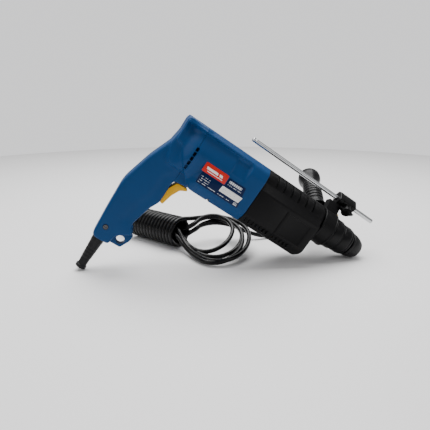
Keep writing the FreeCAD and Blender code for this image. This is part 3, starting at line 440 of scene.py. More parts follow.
def lay_cord():
    """One open line from the guard through the hank to the plug."""
    route = [MOUTH + Vector(p) * MM for p in [Vector(t) for t in TAIL] + binding_turns() + loop_points()]
    line = bpy.data.curves.new("mains_cord", "CURVE")
    line.dimensions = "3D"
    spline = line.splines.new("NURBS")
    spline.points.add(len(route) - 1)
    for point, place in zip(spline.points, route):
        point.co = (*place, 1)
    spline.order_u = 3
    spline.use_endpoint_u = True
    spline.resolution_u = 5
    line.bevel_depth = CORD_RADIUS * MM
    line.bevel_resolution = 4
    line.use_fill_caps = True
    cord = bpy.data.objects.new("mains_cord", line)
    bpy.context.scene.collection.objects.link(cord)
    line.materials.append(cord_rubber.material)
    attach(cord, "root")
    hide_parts("cord_tail", "cord_hank", "cord_lead")
    return cord, route


cord, cord_route = lay_cord()


# ---------------------------------------------------------------- the maker's hands

def drop():
    """Leaves nothing selected and nothing open."""
    if bpy.context.object and bpy.context.object.mode != "OBJECT":
        bpy.ops.object.mode_set(mode="OBJECT")
    bpy.ops.object.select_all(action="DESELECT")


def hold(piece):
    drop()
    piece.select_set(True)
    bpy.context.view_layer.objects.active = piece


def open_up(piece):
    hold(piece)
    bpy.ops.object.mode_set(mode="EDIT")
    bpy.ops.mesh.select_mode(type="VERT")
    bpy.ops.mesh.select_all(action="SELECT")


def close():
    bpy.ops.object.mode_set(mode="OBJECT")


def tidy():
    """Merges doubles and turns every face outwards, with the piece open."""
    bpy.ops.mesh.select_all(action="SELECT")
    bpy.ops.mesh.remove_doubles(threshold=0.001)
    bpy.ops.mesh.normals_make_consistent(inside=False)


def start(kind, name, **sizes):
    drop()
    getattr(bpy.ops.mesh, "primitive_%s_add" % kind)(**sizes)
    piece = bpy.context.object
    piece.name = piece.data.name = name
    return piece


def pick(piece, kind, wanted):
    """With the piece open, selects the points, edges or faces that the test wants."""
    bpy.ops.mesh.select_mode(type=kind)
    bpy.ops.mesh.select_all(action="DESELECT")
    mesh = bmesh.from_edit_mesh(piece.data)
    for part in {"VERT": mesh.verts, "EDGE": mesh.edges, "FACE": mesh.faces}[kind]:
        part.select_set(bool(wanted(part)))
    bmesh.update_edit_mesh(piece.data)


def spot(plane, along, up):
    return Vector((0, along, up)) if plane == "YZ" else Vector((along, 0, up))


def trace(name, corners, plane="XZ", filled=True):
    """An outline drawn corner by corner; a third number rounds its corner. Leaves the piece open."""
    piece = start("plane", name, size=1)
    open_up(piece)
    bpy.ops.mesh.merge(type="CENTER")
    places = [spot(plane, *corner[:2]) for corner in corners]
    bpy.ops.transform.translate(value=places[0])
    for before, after in zip(places, places[1:]):
        bpy.ops.mesh.extrude_region_move(TRANSFORM_OT_translate={"value": after - before})
    if not filled:
        return piece
    bpy.ops.mesh.select_all(action="SELECT")
    bpy.ops.mesh.edge_face_add()
    for i, corner in enumerate(corners):
        if len(corner) > 2:
            here = places[i]
            half = (places[i - 1] - here).angle(places[(i + 1) % len(places)] - here) / 2
            pick(piece, "VERT", lambda v: (v.co - here).length < 0.001)
            bpy.ops.mesh.bevel(offset=corner[2] / math.tan(half), segments=3 + int(corner[2] > 8) * 4,
                               affect="VERTICES")
    return piece


def prism(name, corners, low, high, plane="XZ"):
    """An outline given thickness between two places across it."""
    piece = trace(name, corners, plane)
    across = Vector((1, 0, 0)) if plane == "YZ" else Vector((0, 1, 0))
    bpy.ops.mesh.select_all(action="SELECT")
    bpy.ops.transform.translate(value=across * low)
    bpy.ops.mesh.extrude_region_move(TRANSFORM_OT_translate={"value": across * (high - low)})
    tidy()
    close()
    return piece


def turned(name, profile, steps=64):
    """A form turned about the X axis from (x, radius) corners."""
    on_axis = profile[0][1] == 0
    piece = trace(name, profile if on_axis else profile + profile[:1], filled=False)
    bpy.ops.mesh.select_all(action="SELECT")
    bpy.ops.mesh.spin(steps=steps, angle=2 * math.pi, center=(0, 0, 0), axis=(1, 0, 0))
    tidy()
    close()
    return piece


def brick(name, x, y, z):
    piece = start("cube", name, size=1, location=[sum(pair) / 2 for pair in (x, y, z)],
                  scale=[pair[1] - pair[0] for pair in (x, y, z)])
    bpy.ops.object.transform_apply(location=True, rotation=True, scale=True)
    return piece


def round_bar(name, foot, head, radius, sides=24):
    """A plain bar between two points, for joining or cutting."""
    foot, head = Vector(foot), Vector(head)
    piece = start("cylinder", name, vertices=sides, radius=radius, depth=(head - foot).length,
                  location=(foot + head) / 2, rotation=(head - foot).to_track_quat("Z", "Y").to_euler())
    bpy.ops.object.transform_apply(location=True, rotation=True, scale=True)
    return piece


def cross_bar(name, spot_xz, low, high, radius, sides):
    """A plain bar across the tool at one place of its side view."""
    x, z = spot_xz
    return round_bar(name, (x, low, z), (x, high, z), radius, sides)


def change(piece, kind, **settings):
    """Adds a modifier and applies it."""
    hold(piece)
    tool = piece.modifiers.new(kind.title(), kind)
    for key, value in settings.items():
        setattr(tool, key, value)
    bpy.ops.object.modifier_apply(modifier=tool.name)
    return piece


def ease(piece, width, segments=2, angle=30):
    """Rounds the sharp edges."""
    return change(piece, "BEVEL", width=width, segments=segments, limit_method="ANGLE",
                  angle_limit=math.radians(angle), miter_outer="MITER_ARC")


def combine(piece, other, how="UNION"):
    change(piece, "BOOLEAN", object=other, operation=how, solver="EXACT")
    bpy.data.objects.remove(other)
    return piece


def cut(piece, other):
    return combine(piece, other, "DIFFERENCE")


def copies(piece, shifts):
    """The piece and copies of it moved by each shift, joined into one."""
    made = []
    for shift in shifts:
        twin = piece.copy()
        twin.data = piece.data.copy()
        bpy.context.scene.collection.objects.link(twin)
        twin.data.transform(shift if isinstance(shift, Matrix) else Matrix.Translation(shift))
        made.append(twin)
    hold(piece)
    for twin in made:
        twin.select_set(True)
    bpy.ops.object.join()
    return piece


def settle(piece, body, finish, stands_for=(), place=None, smooth=35):
    """Stands a finished piece in its place and gives it its finish and its body."""
    hold(piece)
    piece.matrix_world = TOOL @ (place or Matrix()) @ piece.matrix_world
    bpy.ops.object.transform_apply(location=True, rotation=True, scale=True)
    if smooth:
        bpy.ops.object.shade_smooth_by_angle(angle=math.radians(smooth))
    piece.data.materials.clear()
    piece.data.materials.append(finish.material)
    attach(piece, body)
    if stands_for:
        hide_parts(*stands_for)
    return piece


def slide(value, low, high):
    """A smooth step from 0 at low to 1 at high."""
    share = min(1, max(0, (value - low) / (high - low)))
    return share * share * (3 - 2 * share)


def between(value, table):
    """Straight-line reading of a table of (place, value) pairs."""
    for (a, low), (b, high) in zip(table, table[1:]):
        if value <= b:
            return low + (high - low) * max(0, (value - a) / (b - a))
    return table[-1][1]


# ---------------------------------------------------------------- blue casings

def housing_section(inset=0.0):
    right = [(27 - inset / 2, inset - 59, 7), (38 - inset, -45, 9), (38 - inset, 9, 8),
             (34 - inset, 21 - inset / 2, 6), (22 - inset / 2, 28 - inset, 7)]
    return right + [(-y, z, r) for y, z, r in reversed(right)]


SEAM, CASING_WALL = -304, 2.4
EYE, HANDLE_SCREW, BUTTON = (-322, -178), (-350, -169), (-322, -82)
GRIP_OUTLINE = [(-300, 27.2), (-335.8, 27, 6), (-335, 4, 20), (-337, -12, 28), (-352, -50, 75),
                (-365.5, -98, 60), (-363.5, -150, 60), (-361, -190.8, 6), (-334, -190.8, 3), (-331, -173, 4),
                (-309, -160, 4), (-321, -150, 10), (-312, -114, 10), (-304.5, -99, 4), (-305, -62, 4),
                (-279, -58.8, 2), (-262, -40)]
FRONT_EDGE = [(-191, -318), (-160, -320), (-150, -321), (-114, -312), (-99, -304), (-62, -303), (-40, -280)]


def grip_shape(point):
    """Moulds the rough blue form: tapers the cap, sweeps it into the grip and sinks the creases."""
    x, y, z = point
    side = abs(y)
    taper = slide(x, -338, -300) if x < -300 else 1
    sweep = slide(z, -66, -8) if x < -276 else 1
    above = slide(z, 10, 27)
    rear = max(taper * (1 - 0.25 * above) + 0.3 * above, 0.42)
    if side > 17:
        side = 17 + (side - 17) * min(rear, 0.12 + 0.88 * max(sweep, slide(x, -300, -276)))
    channel = slide(z, -8, 15) * (1 - slide(z, 18, 22)) * (1 - slide(x, -231, -223)) * slide(x, -336, -326)
    side -= between(x, [(-330, 8), (-300, 7), (-225, 4)]) * channel * (side > 12)
    pocket = slide(x, -250, -246.5) * (1 - slide(x, -227, -224)) * slide(z, -9, -6) * (1 - slide(z, 15, 18))
    side -= 1.9 * pocket * (side > 26)
    if z < -34 and x < -276:
        height = slide(z, -158, -140) * (1 - slide(z, -46, -38))
        finger = slide(x - between(z, FRONT_EDGE), -19, -17) * height
        side -= 1.5 * finger * (side > 8)
    return Vector((x, math.copysign(side, y), z))


def soften(piece, weight, rounds):
    """Smooths the skin where the weight asks for it."""
    group = piece.vertex_groups.new(name="soft")
    for vertex in piece.data.vertices:
        share = weight(vertex.co)
        if share > 0.01:
            group.add([vertex.index], share, "REPLACE")
    change(piece, "SMOOTH", factor=0.5, iterations=rounds, vertex_group="soft")
    piece.vertex_groups.clear()


def blue_form():
    """Housing, cap, grip and hanging lug as one smooth form, still uncut."""
    form = prism("blue_form", housing_section(), -334, -198.3, "YZ")
    cut(form, prism("heel", [(-345, -10), (-326, -10), (-305, -39), (-279, -62), (-279, -80), (-345, -80)],
                    -60, 60))
    grip = ease(prism("grip", GRIP_OUTLINE, -17.6, 17.6), 8, 4, 40)
    combine(form, grip)
    cap = ease(prism("cap", [(-296, 27.2), (-335.6, 27, 5), (-335, 3), (-338, -16), (-330, -44, 8),
                             (-296, -44)], -30, 30), 5, 3, 40)
    combine(form, cap)
    change(form, "REMESH", mode="VOXEL", voxel_size=1.25)
    change(form, "SMOOTH", factor=0.5, iterations=6)
    for vertex in form.data.vertices:
        vertex.co = grip_shape(vertex.co)
    soften(form, lambda p: slide(-p.x, 299, 306) * slide(-p.z, -16, -6) * slide(abs(p.y), 3, 9), 36)
    change(form, "SMOOTH", factor=0.5, iterations=3)
    return form


def keep_half(form, name, place, normal):
    """A copy of the form that keeps what lies behind a cutting plane, open along the cut."""
    part = form.copy()
    part.data = form.data.copy()
    part.name = part.data.name = name
    bpy.context.scene.collection.objects.link(part)
    open_up(part)
    bpy.ops.mesh.bisect(plane_co=place, plane_no=normal, clear_outer=True)
    close()
    return part


def wall(piece, thick):
    """Turns an open skin into a shell of this wall thickness, inwards."""
    return change(piece, "SOLIDIFY", thickness=thick, offset=-1, use_even_offset=False)


def open_holes(form):
    """Vent slots, the seats of guard, screw and button, the hanging eye and the trigger's opening."""
    slots = brick("vents", (-306.2, -302.0), (-46, -26), (-8.2, -2))
    copies(slots, [(0, 0, -7.2 * i) for i in range(1, 5)])
    copies(slots, [(0, 72, 0)])
    cut(form, slots)
    cut(form, cross_bar("eye", EYE, -30, 30, 6.6, 48))
    cut(form, round_bar("guard_seat", (-349, 0, -200), (-349, 0, -176), 9.6, 40))
    cut(form, ease(brick("trigger_gap", (-321, -285), (-9.7, 9.7), (-104, -61)), 1.5, 2))
    cut(form, cross_bar("screw_hole", HANDLE_SCREW, -24, -14.2, 4.3, 32))
    cut(form, cross_bar("button_hole", BUTTON, 5.5, 25, 6.9, 32))
    notch = ease(brick("edge_notch", (-254, -249.5), (-45, 45), (-64, -54.5)), 1.0, 2)
    return cut(form, notch)


def blue_casings():
    form = open_holes(blue_form())
    case = keep_half(form, "motor_case", (SEAM + 0.2, 0, 0), (-1, 0, 0))
    open_up(case)
    bpy.ops.mesh.bisect(plane_co=(-198.9, 0, 0), plane_no=(1, 0, 0), clear_outer=True)
    close()
    settle(wall(case, CASING_WALL), "root", blue_plastic, ["motor_housing"], smooth=40)
    for name, cad, side in (("grip_half_right", "handle_shell_right", -1),
                            ("grip_half_left", "handle_shell_left", 1)):
        half = keep_half(form, name, (SEAM - 0.2, 0, 0), (1, 0, 0))
        open_up(half)
        bpy.ops.mesh.bisect(plane_co=(0, side * 0.12, 0), plane_no=(0, -side, 0), clear_outer=True)
        close()
        settle(wall(half, CASING_WALL), "root", blue_plastic, [cad], smooth=40)
    bpy.data.objects.remove(form)
    lug = ease(prism("lug", [(-337, -189, 3), (-316, -189, 4), (-309, -174, 4), (-308, -164), (-340, -164)],
                     -5.9, 5.9), 2.2, 3)
    cut(lug, cross_bar("eye", EYE, -20, 20, 6.5, 48))
    settle(lug, "root", blue_plastic)


# ---------------------------------------------------------------- black gear case and nose

def gear_section(inset=0.0):
    barrel = 28 - inset
    right = [(27 - inset / 2, inset - 59, 8), (38 - inset, -45, 8), (38 - inset, -2 - inset / 2, 3),
             (barrel * 0.93, 9 - inset / 2, 5), (barrel * 0.83, barrel * 0.74, 12),
             (barrel * 0.36, barrel, 12)]
    return right + [(-y, z, r) for y, z, r in reversed(right)]


def gear_case():
    """Ribbed barrel on a box, with its seam, chin, front wall and small moulded ribs."""
    case = prism("gear_case", gear_section(), -198.1, -92, "YZ")
    cut(case, prism("chin", [(-100, -62), (-90.5, -49), (-88, -62)], -60, 60))
    cut(case, prism("inside", gear_section(3.4), -199, -97, "YZ"))
    grooves = turned("groove", [(-112.6, 26.4), (-112.6, 34), (-110, 34), (-110, 26.4)], 96)
    copies(grooves, [(-13.5 * i, 0, 0) for i in range(1, 6)])
    cut(grooves, brick("below", (-200, -90), (-50, 50), (-50, 10.5)))
    cut(case, grooves)
    seam = prism("seam", gear_section(-6), -147.2, -146, "YZ")
    cut(seam, prism("seam_core", gear_section(0.9), -150, -140, "YZ"))
    cut(seam, brick("above", (-160, -130), (-60, 60), (-7, 60)))
    cut(case, seam)
    shallow = brick("panel", (-141, -104), (-39, -37.3), (-42, -9))
    ease(shallow, 0.6, 2)
    copies(shallow, [(0, 76.3, 0)])
    cut(case, shallow)
    cut(case, round_bar("nose_bore", (-100, 0, 0), (-80, 0, 0), 20.9, 64))
    knob_hole = round_bar("knob_hole", (-150, 25, -25), (-150, 45, -25), 6.5, 32)
    cut(case, knob_hole)
    ease(case, 0.7, 2, 25)
    settle(case, "root", black_plastic, ["gear_housing"])
    rib = ease(brick("case_ribs", (-192.6, -191.2), (-37.2, -31), (-53.5, -47)), 0.4, 1)
    copies(rib, [(6.4 * i, 0, 0) for i in range(1, 7)] + [(50 + 6.4 * i, 0, 0) for i in range(5)])
    copies(rib, [Matrix.Scale(-1, 4, (0, 1, 0))])
    open_up(rib)
    bpy.ops.mesh.normals_make_consistent(inside=False)
    close()
    settle(rib, "root", black_plastic)


def nose():
    """The round collar that the side handle clamps on, with its steps and shoulder ring."""
    collar = turned("nose_collar", [
        (-96, 20.8), (-96, 19.9), (-90, 19.9), (-90, 18.4), (-78, 18.4), (-78, 16.2), (-57, 16.2), (-57, 22.9),
        (-46, 22.9), (-46, 23.6), (-46.8, 24.2), (-59.5, 24.4), (-60, 23.9), (-61, 23.9), (-61.5, 24.4),
        (-87.5, 24.4), (-88, 25.6), (-91.9, 26.4), (-91.9, 20.8)], 96)
    ease(collar, 0.25, 2, 25)
    settle(collar, "root", glossy_black, ["front_collar"])


def chuck_parts():
    """Locking sleeve with finger grooves and the rubber cap with its rings."""
    sleeve = turned("chuck_sleeve", [
        (-47, 18.6), (-47, 21.6), (-46.3, 22.3), (-43.8, 22.3), (-43.3, 21.7), (-42.4, 21.7), (-41.9, 22.4),
        (-30, 22.5), (-28.5, 22.0), (-27.9, 21.2), (-26.9, 21.2), (-26.3, 21.6), (-24.2, 21), (-23, 19.8),
        (-23, 14.1), (-27, 14.1), (-27, 18.6)], 96)
    ease(sleeve, 0.2, 2, 25)
    settle(sleeve, "chuck_sleeve", glossy_black, ["lock_sleeve"])
    cap = turned("dust_cap", [
        (-20.5, 12.05), (-20.5, 18.6), (-19.8, 19.4), (-17.4, 19.4), (-16.9, 18.9), (-16.2, 18.9),
        (-15.7, 19.1), (-12, 18.5), (-8, 17.3), (-4.5, 15.8), (-2, 14.5), (-0.6, 13.6), (0, 12.9),
        (-0.4, 11.8), (-0.4, 8.5), (0, 7.9), (0, 6.4), (-1.2, 6.0), (-4, 6.0), (-4, 12.05)], 96)
    ease(cap, 0.25, 2, 25)
    settle(cap, "spindle", dark_rubber, ["front_cap"])


# ---------------------------------------------------------------- side handle and depth rod

LIFT, CLAMP_LEAN = math.radians(19.5), math.radians(55)
STRAP = -74
ROD_SIDE, ROD_HEIGHT = 20, 50
HANDLE_PLACE = Matrix.Translation((STRAP, 0, 0)) @ Vector(
    (0, math.cos(LIFT), math.sin(LIFT))).to_track_quat("X", "Z").to_matrix().to_4x4()


def strap():
    """Clamp band with rolled rims and lugs, the stem towards the grip and the arm of the rod clamp."""
    band = turned("handle_strap", [(-12, 24.5), (-12, 27.2), (-11.3, 27.9), (-9.4, 27.9), (-8.8, 27.2),
                                   (8.8, 27.2), (9.4, 27.9), (11.3, 27.9), (12, 27.2), (12, 24.5)], 96)
    out = Vector((0, math.cos(LIFT), math.sin(LIFT)))
    stem = start("cone", "stem", vertices=48, radius1=14.5, radius2=12.6, depth=26, location=out * 33.8,
                 rotation=out.to_track_quat("Z", "Y").to_euler())
    bpy.ops.object.transform_apply(location=True, rotation=True, scale=True)
    combine(band, ease(stem, 1.0, 2))
    up = Vector((0, ROD_SIDE, ROD_HEIGHT)).normalized()
    arm = brick("arm", (-8.5, 14.5), (-6, 6), (22.5, 44.5))
    arm.data.transform(Matrix.Rotation(-math.atan2(up.y, up.z), 4, "X"))
    combine(band, ease(arm, 1.6, 3))
    cut(band, round_bar("bore", (-30, 0, 0), (30, 0, 0), 24.5, 96))
    cut(band, round_bar("bolt_hole", out * 28, out * 60, 4.2, 24))
    ease(band, 0.35, 2, 28)
    settle(band, "side_handle", black_plastic, ["clamp_band"],
           Matrix.Translation((STRAP, 0, 0)))


def side_grip():
    """Grip with a flange, shallow rings and a ball end."""
    rings = []
    for i in range(8):
        x = 64 + 8.6 * i
        radius = between(x, [(56, 14.6), (92, 16.2), (135, 14.8)])
        rings += [(x, radius), (x + 5.8, radius + 0.2), (x + 6.4, radius - 1.0), (x + 8.0, radius - 1.0)]
    profile = [(47.4, 4.3), (47.4, 18.2), (48.2, 19), (50.2, 19), (51.2, 18.2), (53, 16.4), (56, 14.6)]
    profile += rings + [(136, 14.8), (143, 16.0), (149, 18.4), (154, 19.7), (159, 20), (164, 19.6),
                        (168.5, 18), (172, 15), (174.2, 11), (174.9, 6), (175, 0)]
    grip = turned("side_grip_body", [(167, 0), (167, 4.3)] + profile, 72)
    ease(grip, 0.3, 2, 28)
    settle(grip, "side_grip", glossy_black, ["side_grip"], HANDLE_PLACE)


def rod_holder():
    """Rounded six-sided block that grips the rod, with the edges of its nut pocket."""
    block = prism("rod_block", [(-10, -11, 3), (10, -11, 3), (10, 6, 5), (5, 12, 4), (-5, 12, 4), (-10, 6, 5)],
                  0, 32, "YZ")
    ease(block, 1.6, 3, 50)
    waist = [(x, 0, 0) for x in (7.2, 23.2)]
    groove = brick("line", (0, 1.2), (-14, 14), (-15, 15))
    cut(groove, prism("line_core", [(-9.3, -10.3, 3), (9.3, -10.3, 3), (9.3, 5.6, 5), (4.6, 11.3, 4),
                                    (-4.6, 11.3, 4), (-9.3, 5.6, 5)], -2, 4, "YZ"))
    groove.data.transform(Matrix.Translation(waist[0]))
    copies(groove, [(16, 0, 0)])
    cut(block, groove)
    cut(block, round_bar("rod_bore", (-5, 0, 0), (40, 0, 0), 3.95, 32))
    cut(block, round_bar("screw_bore", (20, 0, -20), (20, 0, 0), 3.4, 32))
    settle(block, "side_handle", glossy_black, ["rod_clamp"],
           Matrix.Translation((-70, ROD_SIDE, ROD_HEIGHT)) @ Matrix.Rotation(-CLAMP_LEAN, 4, "X"))


def knurled_knob():
    """Wing screw: threaded shank, knurled head and two short wings."""
    knob = start("cylinder", "clamp_knob", vertices=36, radius=8.0, depth=8.2, location=(0, 0, 15.5))
    open_up(knob)
    pick(knob, "FACE", lambda f: abs(f.normal.z) < 0.1 and int(round(
        math.degrees(math.atan2(f.normal.y, f.normal.x)) / 10 - 0.5)) % 2 == 0)
    bpy.ops.mesh.extrude_region_shrink_fatten(TRANSFORM_OT_shrink_fatten={"value": 0.45})
    close()
    ease(knob, 0.25, 1, 40)
    head = turned("knob_top", [(11.3, 0), (11.3, 6.4), (18.6, 6.8), (19.9, 5.2), (20, 0)], 32)
    head.data.transform(Matrix.Rotation(math.radians(-90), 4, "Y"))
    combine(knob, head)
    shank = turned("shank", [(4.2, 0), (4.2, 2.4), (4.8, 3)] + [
        (4.8 + 0.5 * i, 3.0 if i % 2 else 2.6) for i in range(1, 13)] + [(11.6, 3), (11.6, 0)], 24)
    shank.data.transform(Matrix.Rotation(math.radians(-90), 4, "Y"))
    combine(knob, shank)
    wings = prism("wings", [(-12.5, 13.4, 1.5), (-13.4, 17.2, 1.5), (-9, 19.8, 1.5), (8, 19.8, 1), (13.6, 16.4),
                            (8, 13.2, 1), (0, 12.4)], -2.3, 2.3)
    combine(knob, ease(wings, 0.6, 2))
    place = Matrix.Translation((-50, ROD_SIDE, ROD_HEIGHT)) @ Matrix.Rotation(math.pi - CLAMP_LEAN, 4, "X")
    settle(knob, "wing_screw", glossy_black, ["wing_screw"], place)


def depth_rod():
    """A bright plated rod with turned ends and a shallow stop groove."""
    rod = turned("depth_stop", [(-236, 0), (-236, 2.7), (-235.2, 3.5), (-232, 3.6), (-231.7, 3.3), (-231, 3.3),
                                (-230.7, 3.6), (3, 3.6), (4, 2.8), (4, 0)], 40)
    settle(rod, "depth_rod", chrome, ["depth_rod"],
           Matrix.Translation((0, ROD_SIDE, ROD_HEIGHT)))


# ---------------------------------------------------------------- controls, guard, plug and plates

def trigger():
    """Yellow trigger: curved finger face with shallow ribs."""
    lever = prism("trigger_lever", [
        (-306, -98, 2), (-299.5, -100, 1.5), (-295, -82, 12), (-289, -70, 4), (-279.5, -65, 1), (-281, -62, 1),
        (-298, -62, 3), (-305, -76, 6)], -8.9, 8.9)
    ease(lever, 1.5, 3, 40)
    groove = round_bar("finger_rib", (-299, -6.6, -93), (-299, 6.6, -93), 1.1, 16)
    copies(groove, [(1.4, 0, 4.5), (2.9, 0, 9.2), (5.0, 0, 14.0)])
    groove.data.transform(Matrix.Translation((1.9, 0, 0)))
    cut(lever, groove)
    settle(lever, "trigger", yellow_plastic, ["trigger"])


def lock_on_button():
    button = turned("lock_on_button", [(0, 0), (0, 6.5), (2.4, 6.5), (2.5, 6.0), (2.5, 5), (9.2, 5), (10.2, 4.6),
                                       (10.9, 3.8), (10.6, 2.4), (10.6, 0)], 48)
    ease(button, 0.2, 2, 25)
    settle(button, "lock_button", glossy_black, ["lock_button"],
           Matrix.Translation((-322, 11, -82)) @ Matrix.Rotation(math.radians(90), 4, "Z"))


def coil(name, x, turns, length, radius, wire):
    """A round-wire spring along X with closed ends."""
    spring = start("circle", name, vertices=8, radius=wire, location=(x + wire, radius, 0))
    bpy.ops.object.transform_apply(location=True, rotation=True, scale=True)
    change(spring, "SCREW", axis="X", iterations=turns, angle=2 * math.pi,
           screw_offset=(length - 2 * wire) / turns, steps=24, render_steps=24)
    open_up(spring)
    bpy.ops.mesh.remove_doubles(threshold=0.0001)
    bpy.ops.mesh.select_all(action="SELECT")
    bpy.ops.mesh.fill_holes(sides=0)
    tidy()
    close()
    return spring


def springs():
    """The coil behind the chuck sleeve and the one behind the trigger."""
    sleeve = coil("sleeve_coil", -56, 6, 28.8, 15.8, 1.0)
    settle(sleeve, "spindle", spring_steel, ["sleeve_spring"])
    tuple(SPINDLE)
    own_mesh(sleeve)
    finger = coil("trigger_coil", 0, 7, 15.6, 2.5, 0.4)
    seat = (-321.5, 0, -84)
    settle(finger, "root", spring_steel, ["trigger_spring"], Matrix.Translation(seat))
    tuple(SPINDLE)
    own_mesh(finger)


def mode_dial():
    """Round selector with a raised finger bar and a pointer notch."""
    dial = turned("mode_dial", [(0, 0), (0, 8.5), (3, 8.5), (3, 6.1), (7.1, 6.1), (7.1, 14.6), (7.6, 15),
                                (10.5, 14.6), (11.6, 13.6), (12, 12), (12, 0)], 64)
    bar = ease(brick("finger_bar", (11.5, 15), (-3.2, 3.2), (-12.4, 12.4)), 1.2, 3)
    combine(dial, bar)
    cut(dial, brick("pointer", (14.2, 16), (-0.7, 0.7), (4, 11)))
    ease(dial, 0.25, 2, 25)
    settle(dial, "mode_knob", glossy_black, ["mode_knob"],
           Matrix.Translation((-150, 31.2, -25)) @ Matrix.Rotation(math.radians(90), 4, "Z"))


def guard():
    """Tapered rubber sleeve with shallow flex rings and a rolled rim."""
    length = GUARD_END - 191 + 14
    rings = []
    for i in range(4):
        x = 30 + 5.5 * i
        radius = 8.4 - 0.35 * i
        rings += [(x, radius), (x + 3.6, radius - 0.1), (x + 4.1, radius - 0.6), (x + 5.0, radius - 0.6)]
    sleeve = turned("cord_sleeve", [(0, 3.85), (0, 9.2), (22, 9.2), (24, 8.7), (28, 8.5)] + rings + [
        (length - 6.5, 6.5), (length - 5, 6.6), (length - 4.6, 7.6), (length - 4, 8), (length - 0.8, 8),
        (length, 7.4), (length, 3.85)], 56)
    ease(sleeve, 0.2, 2, 25)
    settle(sleeve, "root", dark_rubber, ["cord_guard"],
           Matrix.Translation((-349, 0, -177)) @ Matrix.Rotation(math.radians(90), 4, "Y"))


def plug():
    """Round moulded mains plug with a ribbed waist, a stepped neck and two pins."""
    body = turned("mains_plug", [(0, 3.75), (0, 5.4), (0.6, 6), (4, 6), (4.5, 5.2), (5.6, 5.2), (6.1, 6),
                                 (9, 6.2), (12, 7.4), (14, 10.2), (16, 11.4), (20, 11.2), (22, 10.2),
                                 (30, 9.7), (38, 10.2), (40, 11.2), (42, 11.5), (48.8, 11.5), (50, 10.6),
                                 (50, 0)][:-1] + [(50, 0.5), (1, 0.5), (1, 3.75)], 56)
    rib = ease(brick("plug_rib", (23, 37), (-0.7, 0.7), (8.6, 11.1)), 0.3, 1)
    copies(rib, [Matrix.Rotation(math.radians(30 * i), 4, "X") for i in range(1, 12)])
    combine(body, rib)
    ease(body, 0.2, 1, 30)
    heading = Vector((0.92, 0.38, 0.12)).normalized()
    row_place = Matrix.Translation(MOUTH + Vector(LEAD[-1]) * MM) @ Matrix.Scale(MM, 4)
    turn = Vector((1, 0, 0)).rotation_difference(heading).to_matrix().to_4x4()
    stand = TOOL.inverted() @ row_place @ turn
    settle(body, "root", dark_rubber, ["plug_body"], stand)
    pins = turned("plug_prongs", [(50, 0), (50, 2.4), (66.5, 2.4), (68.2, 1.9), (69, 1.0), (69, 0)], 28)
    pins.data.transform(Matrix.Translation((0, -6.5, 0)))
    copies(pins, [(0, 13, 0)])
    settle(pins, "root", brass, ["plug_pins"], stand)
    return body, pins


def plates():
    """Rating plate, red badge and white sticker on the right side of the case."""
    for name, cad, outline, depth, lift, finish, slot in (
            ("rating_plate", "rating_label", [(-283, -43, 1.2), (-213, -43, 1.2), (-218, -13, 1.2), (-246, -13, 1),
                                              (-246, -25.5), (-283, -25.5, 0.5)], 0.4, 0, plate_ink, "navy_label"),
            ("red_badge", "badge_plate", [(-285, -25, 1.5), (-247, -25, 1.5), (-247.5, -11, 1.5),
                                          (-284.5, -11, 1.5)], 0.6, 0, badge_ink, "red_plate"),
            ("white_sticker_plate", "inspection_sticker", [(-249, -36, 0.8), (-216, -36, 0.8), (-214, -27, 0.8),
                                                           (-248, -27, 0.8)], 0.2, 0.4, sticker, "white_sticker")):
        plate = prism(name, outline, -38 - lift - depth, -37.6 - lift)
        ease(plate, 0.08, 2, 50)
        settle(plate, "root", finish, [cad])


blue_casings()
gear_case()
nose()
chuck_parts()
strap()
side_grip()
rod_holder()
knurled_knob()
depth_rod()
trigger()
springs()
lock_on_button()
mode_dial()
guard()
plug_body, plug_pins = plug()
plates()


# ---------------------------------------------------------------- finishes of the carried-over nodes

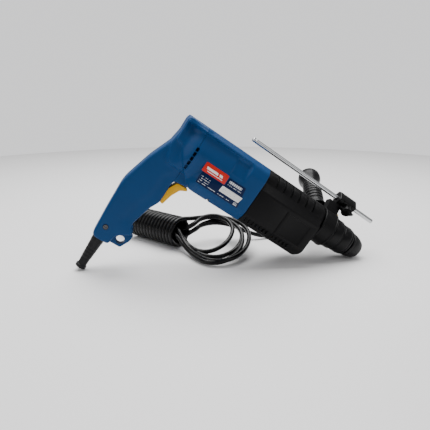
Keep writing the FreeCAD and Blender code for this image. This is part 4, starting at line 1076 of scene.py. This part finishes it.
INNER = {
    steel: ["spindle_tube", "piston", "striker", "impact_bolt", "intermediate_shaft", "armature_shaft",
            "spindle_gear", "first_gear", "second_pinion", "motor_pinion", "wobble_drum", "wobble_ring",
            "locking_balls", "grip_bolt"],
    # The handle screw takes the metal darkened as painted shade of its deep hole.
    shade_darkened_zinc: ["handle_screw"],
    zinc: ["housing_screws", "cord_clamp"],
    cast: ["bearing_bridge"],
    chrome: ["spindle_rear_bearing", "spindle_front_bearing", "intermediate_rear_bearing",
             "intermediate_front_bearing", "armature_rear_bearing", "armature_front_bearing"],
    spring_steel: ["brush_springs"],
    lamination: ["armature_core", "stator_core"],
    copper_wire: ["field_coils"],
    copper_bars: ["commutator"],
    brass: ["brush_holders"],
    carbon: ["carbon_brushes"],
    inside_black: ["switch_body", "cooling_fan"],
    dark_rubber: ["oil_seal"],
}


def finish_nodes():
    for finish, names in INNER.items():
        for name in names:
            mesh = NODES[name].data
            mesh.materials.clear()
            mesh.materials.append(finish.material)
    left = [n for n, o in NODES.items() if not o.hide_render and n not in sum(INNER.values(), [])]
    if left:
        print("nodes still plain:", left)


finish_nodes()


# ---------------------------------------------------------------- floor and light


def studio():
    """Pale floor, pale surroundings and soft light from above and from the camera's left."""
    floor = start("circle", "floor", vertices=96, radius=1.35, fill_type="NGON",
                  location=(0, 0.05, -0.0006))
    bpy.ops.object.transform_apply(location=True, rotation=True, scale=True)
    f = Finish("pale_floor", Roughness=0.55)
    clouds = f.noise(3, 3)
    f.feed("Base Color", f.mix((0.80, 0.79, 0.79, 1), (0.84, 0.84, 0.84, 1), clouds))
    floor.data.materials.append(f.material)
    world = bpy.context.scene.world or bpy.data.worlds.new("surroundings")
    bpy.context.scene.world = world
    world.use_nodes = True
    sky = world.node_tree.nodes["Background"]
    sky.inputs["Color"].default_value = (0.95, 0.95, 0.96, 1)
    ray = world.node_tree.nodes.new("ShaderNodeLightPath")
    level = world.node_tree.nodes.new("ShaderNodeMapRange")
    level.inputs["To Min"].default_value = 0.42
    level.inputs["To Max"].default_value = 1.15
    world.node_tree.links.new(ray.outputs["Is Camera Ray"], level.inputs["Value"])
    world.node_tree.links.new(level.outputs[0], sky.inputs["Strength"])
    for name, place, size, power in (("overhead", (0.05, 0.35, 1.3), 1.3, 42),
                                     ("window_side", (-1.1, -0.5, 1.0), 0.8, 5),
                                     ("fill", (0.9, -0.8, 0.9), 0.8, 2)):
        bpy.ops.object.light_add(type="AREA", location=place)
        lamp = bpy.context.object
        lamp.name = name
        lamp.data.size = size
        lamp.data.energy = power
        lamp.rotation_mode = "QUATERNION"
        lamp.rotation_quaternion = (Vector((0, 0, 0.08)) - Vector(place)).to_track_quat("-Z", "Y")


drop()
studio()
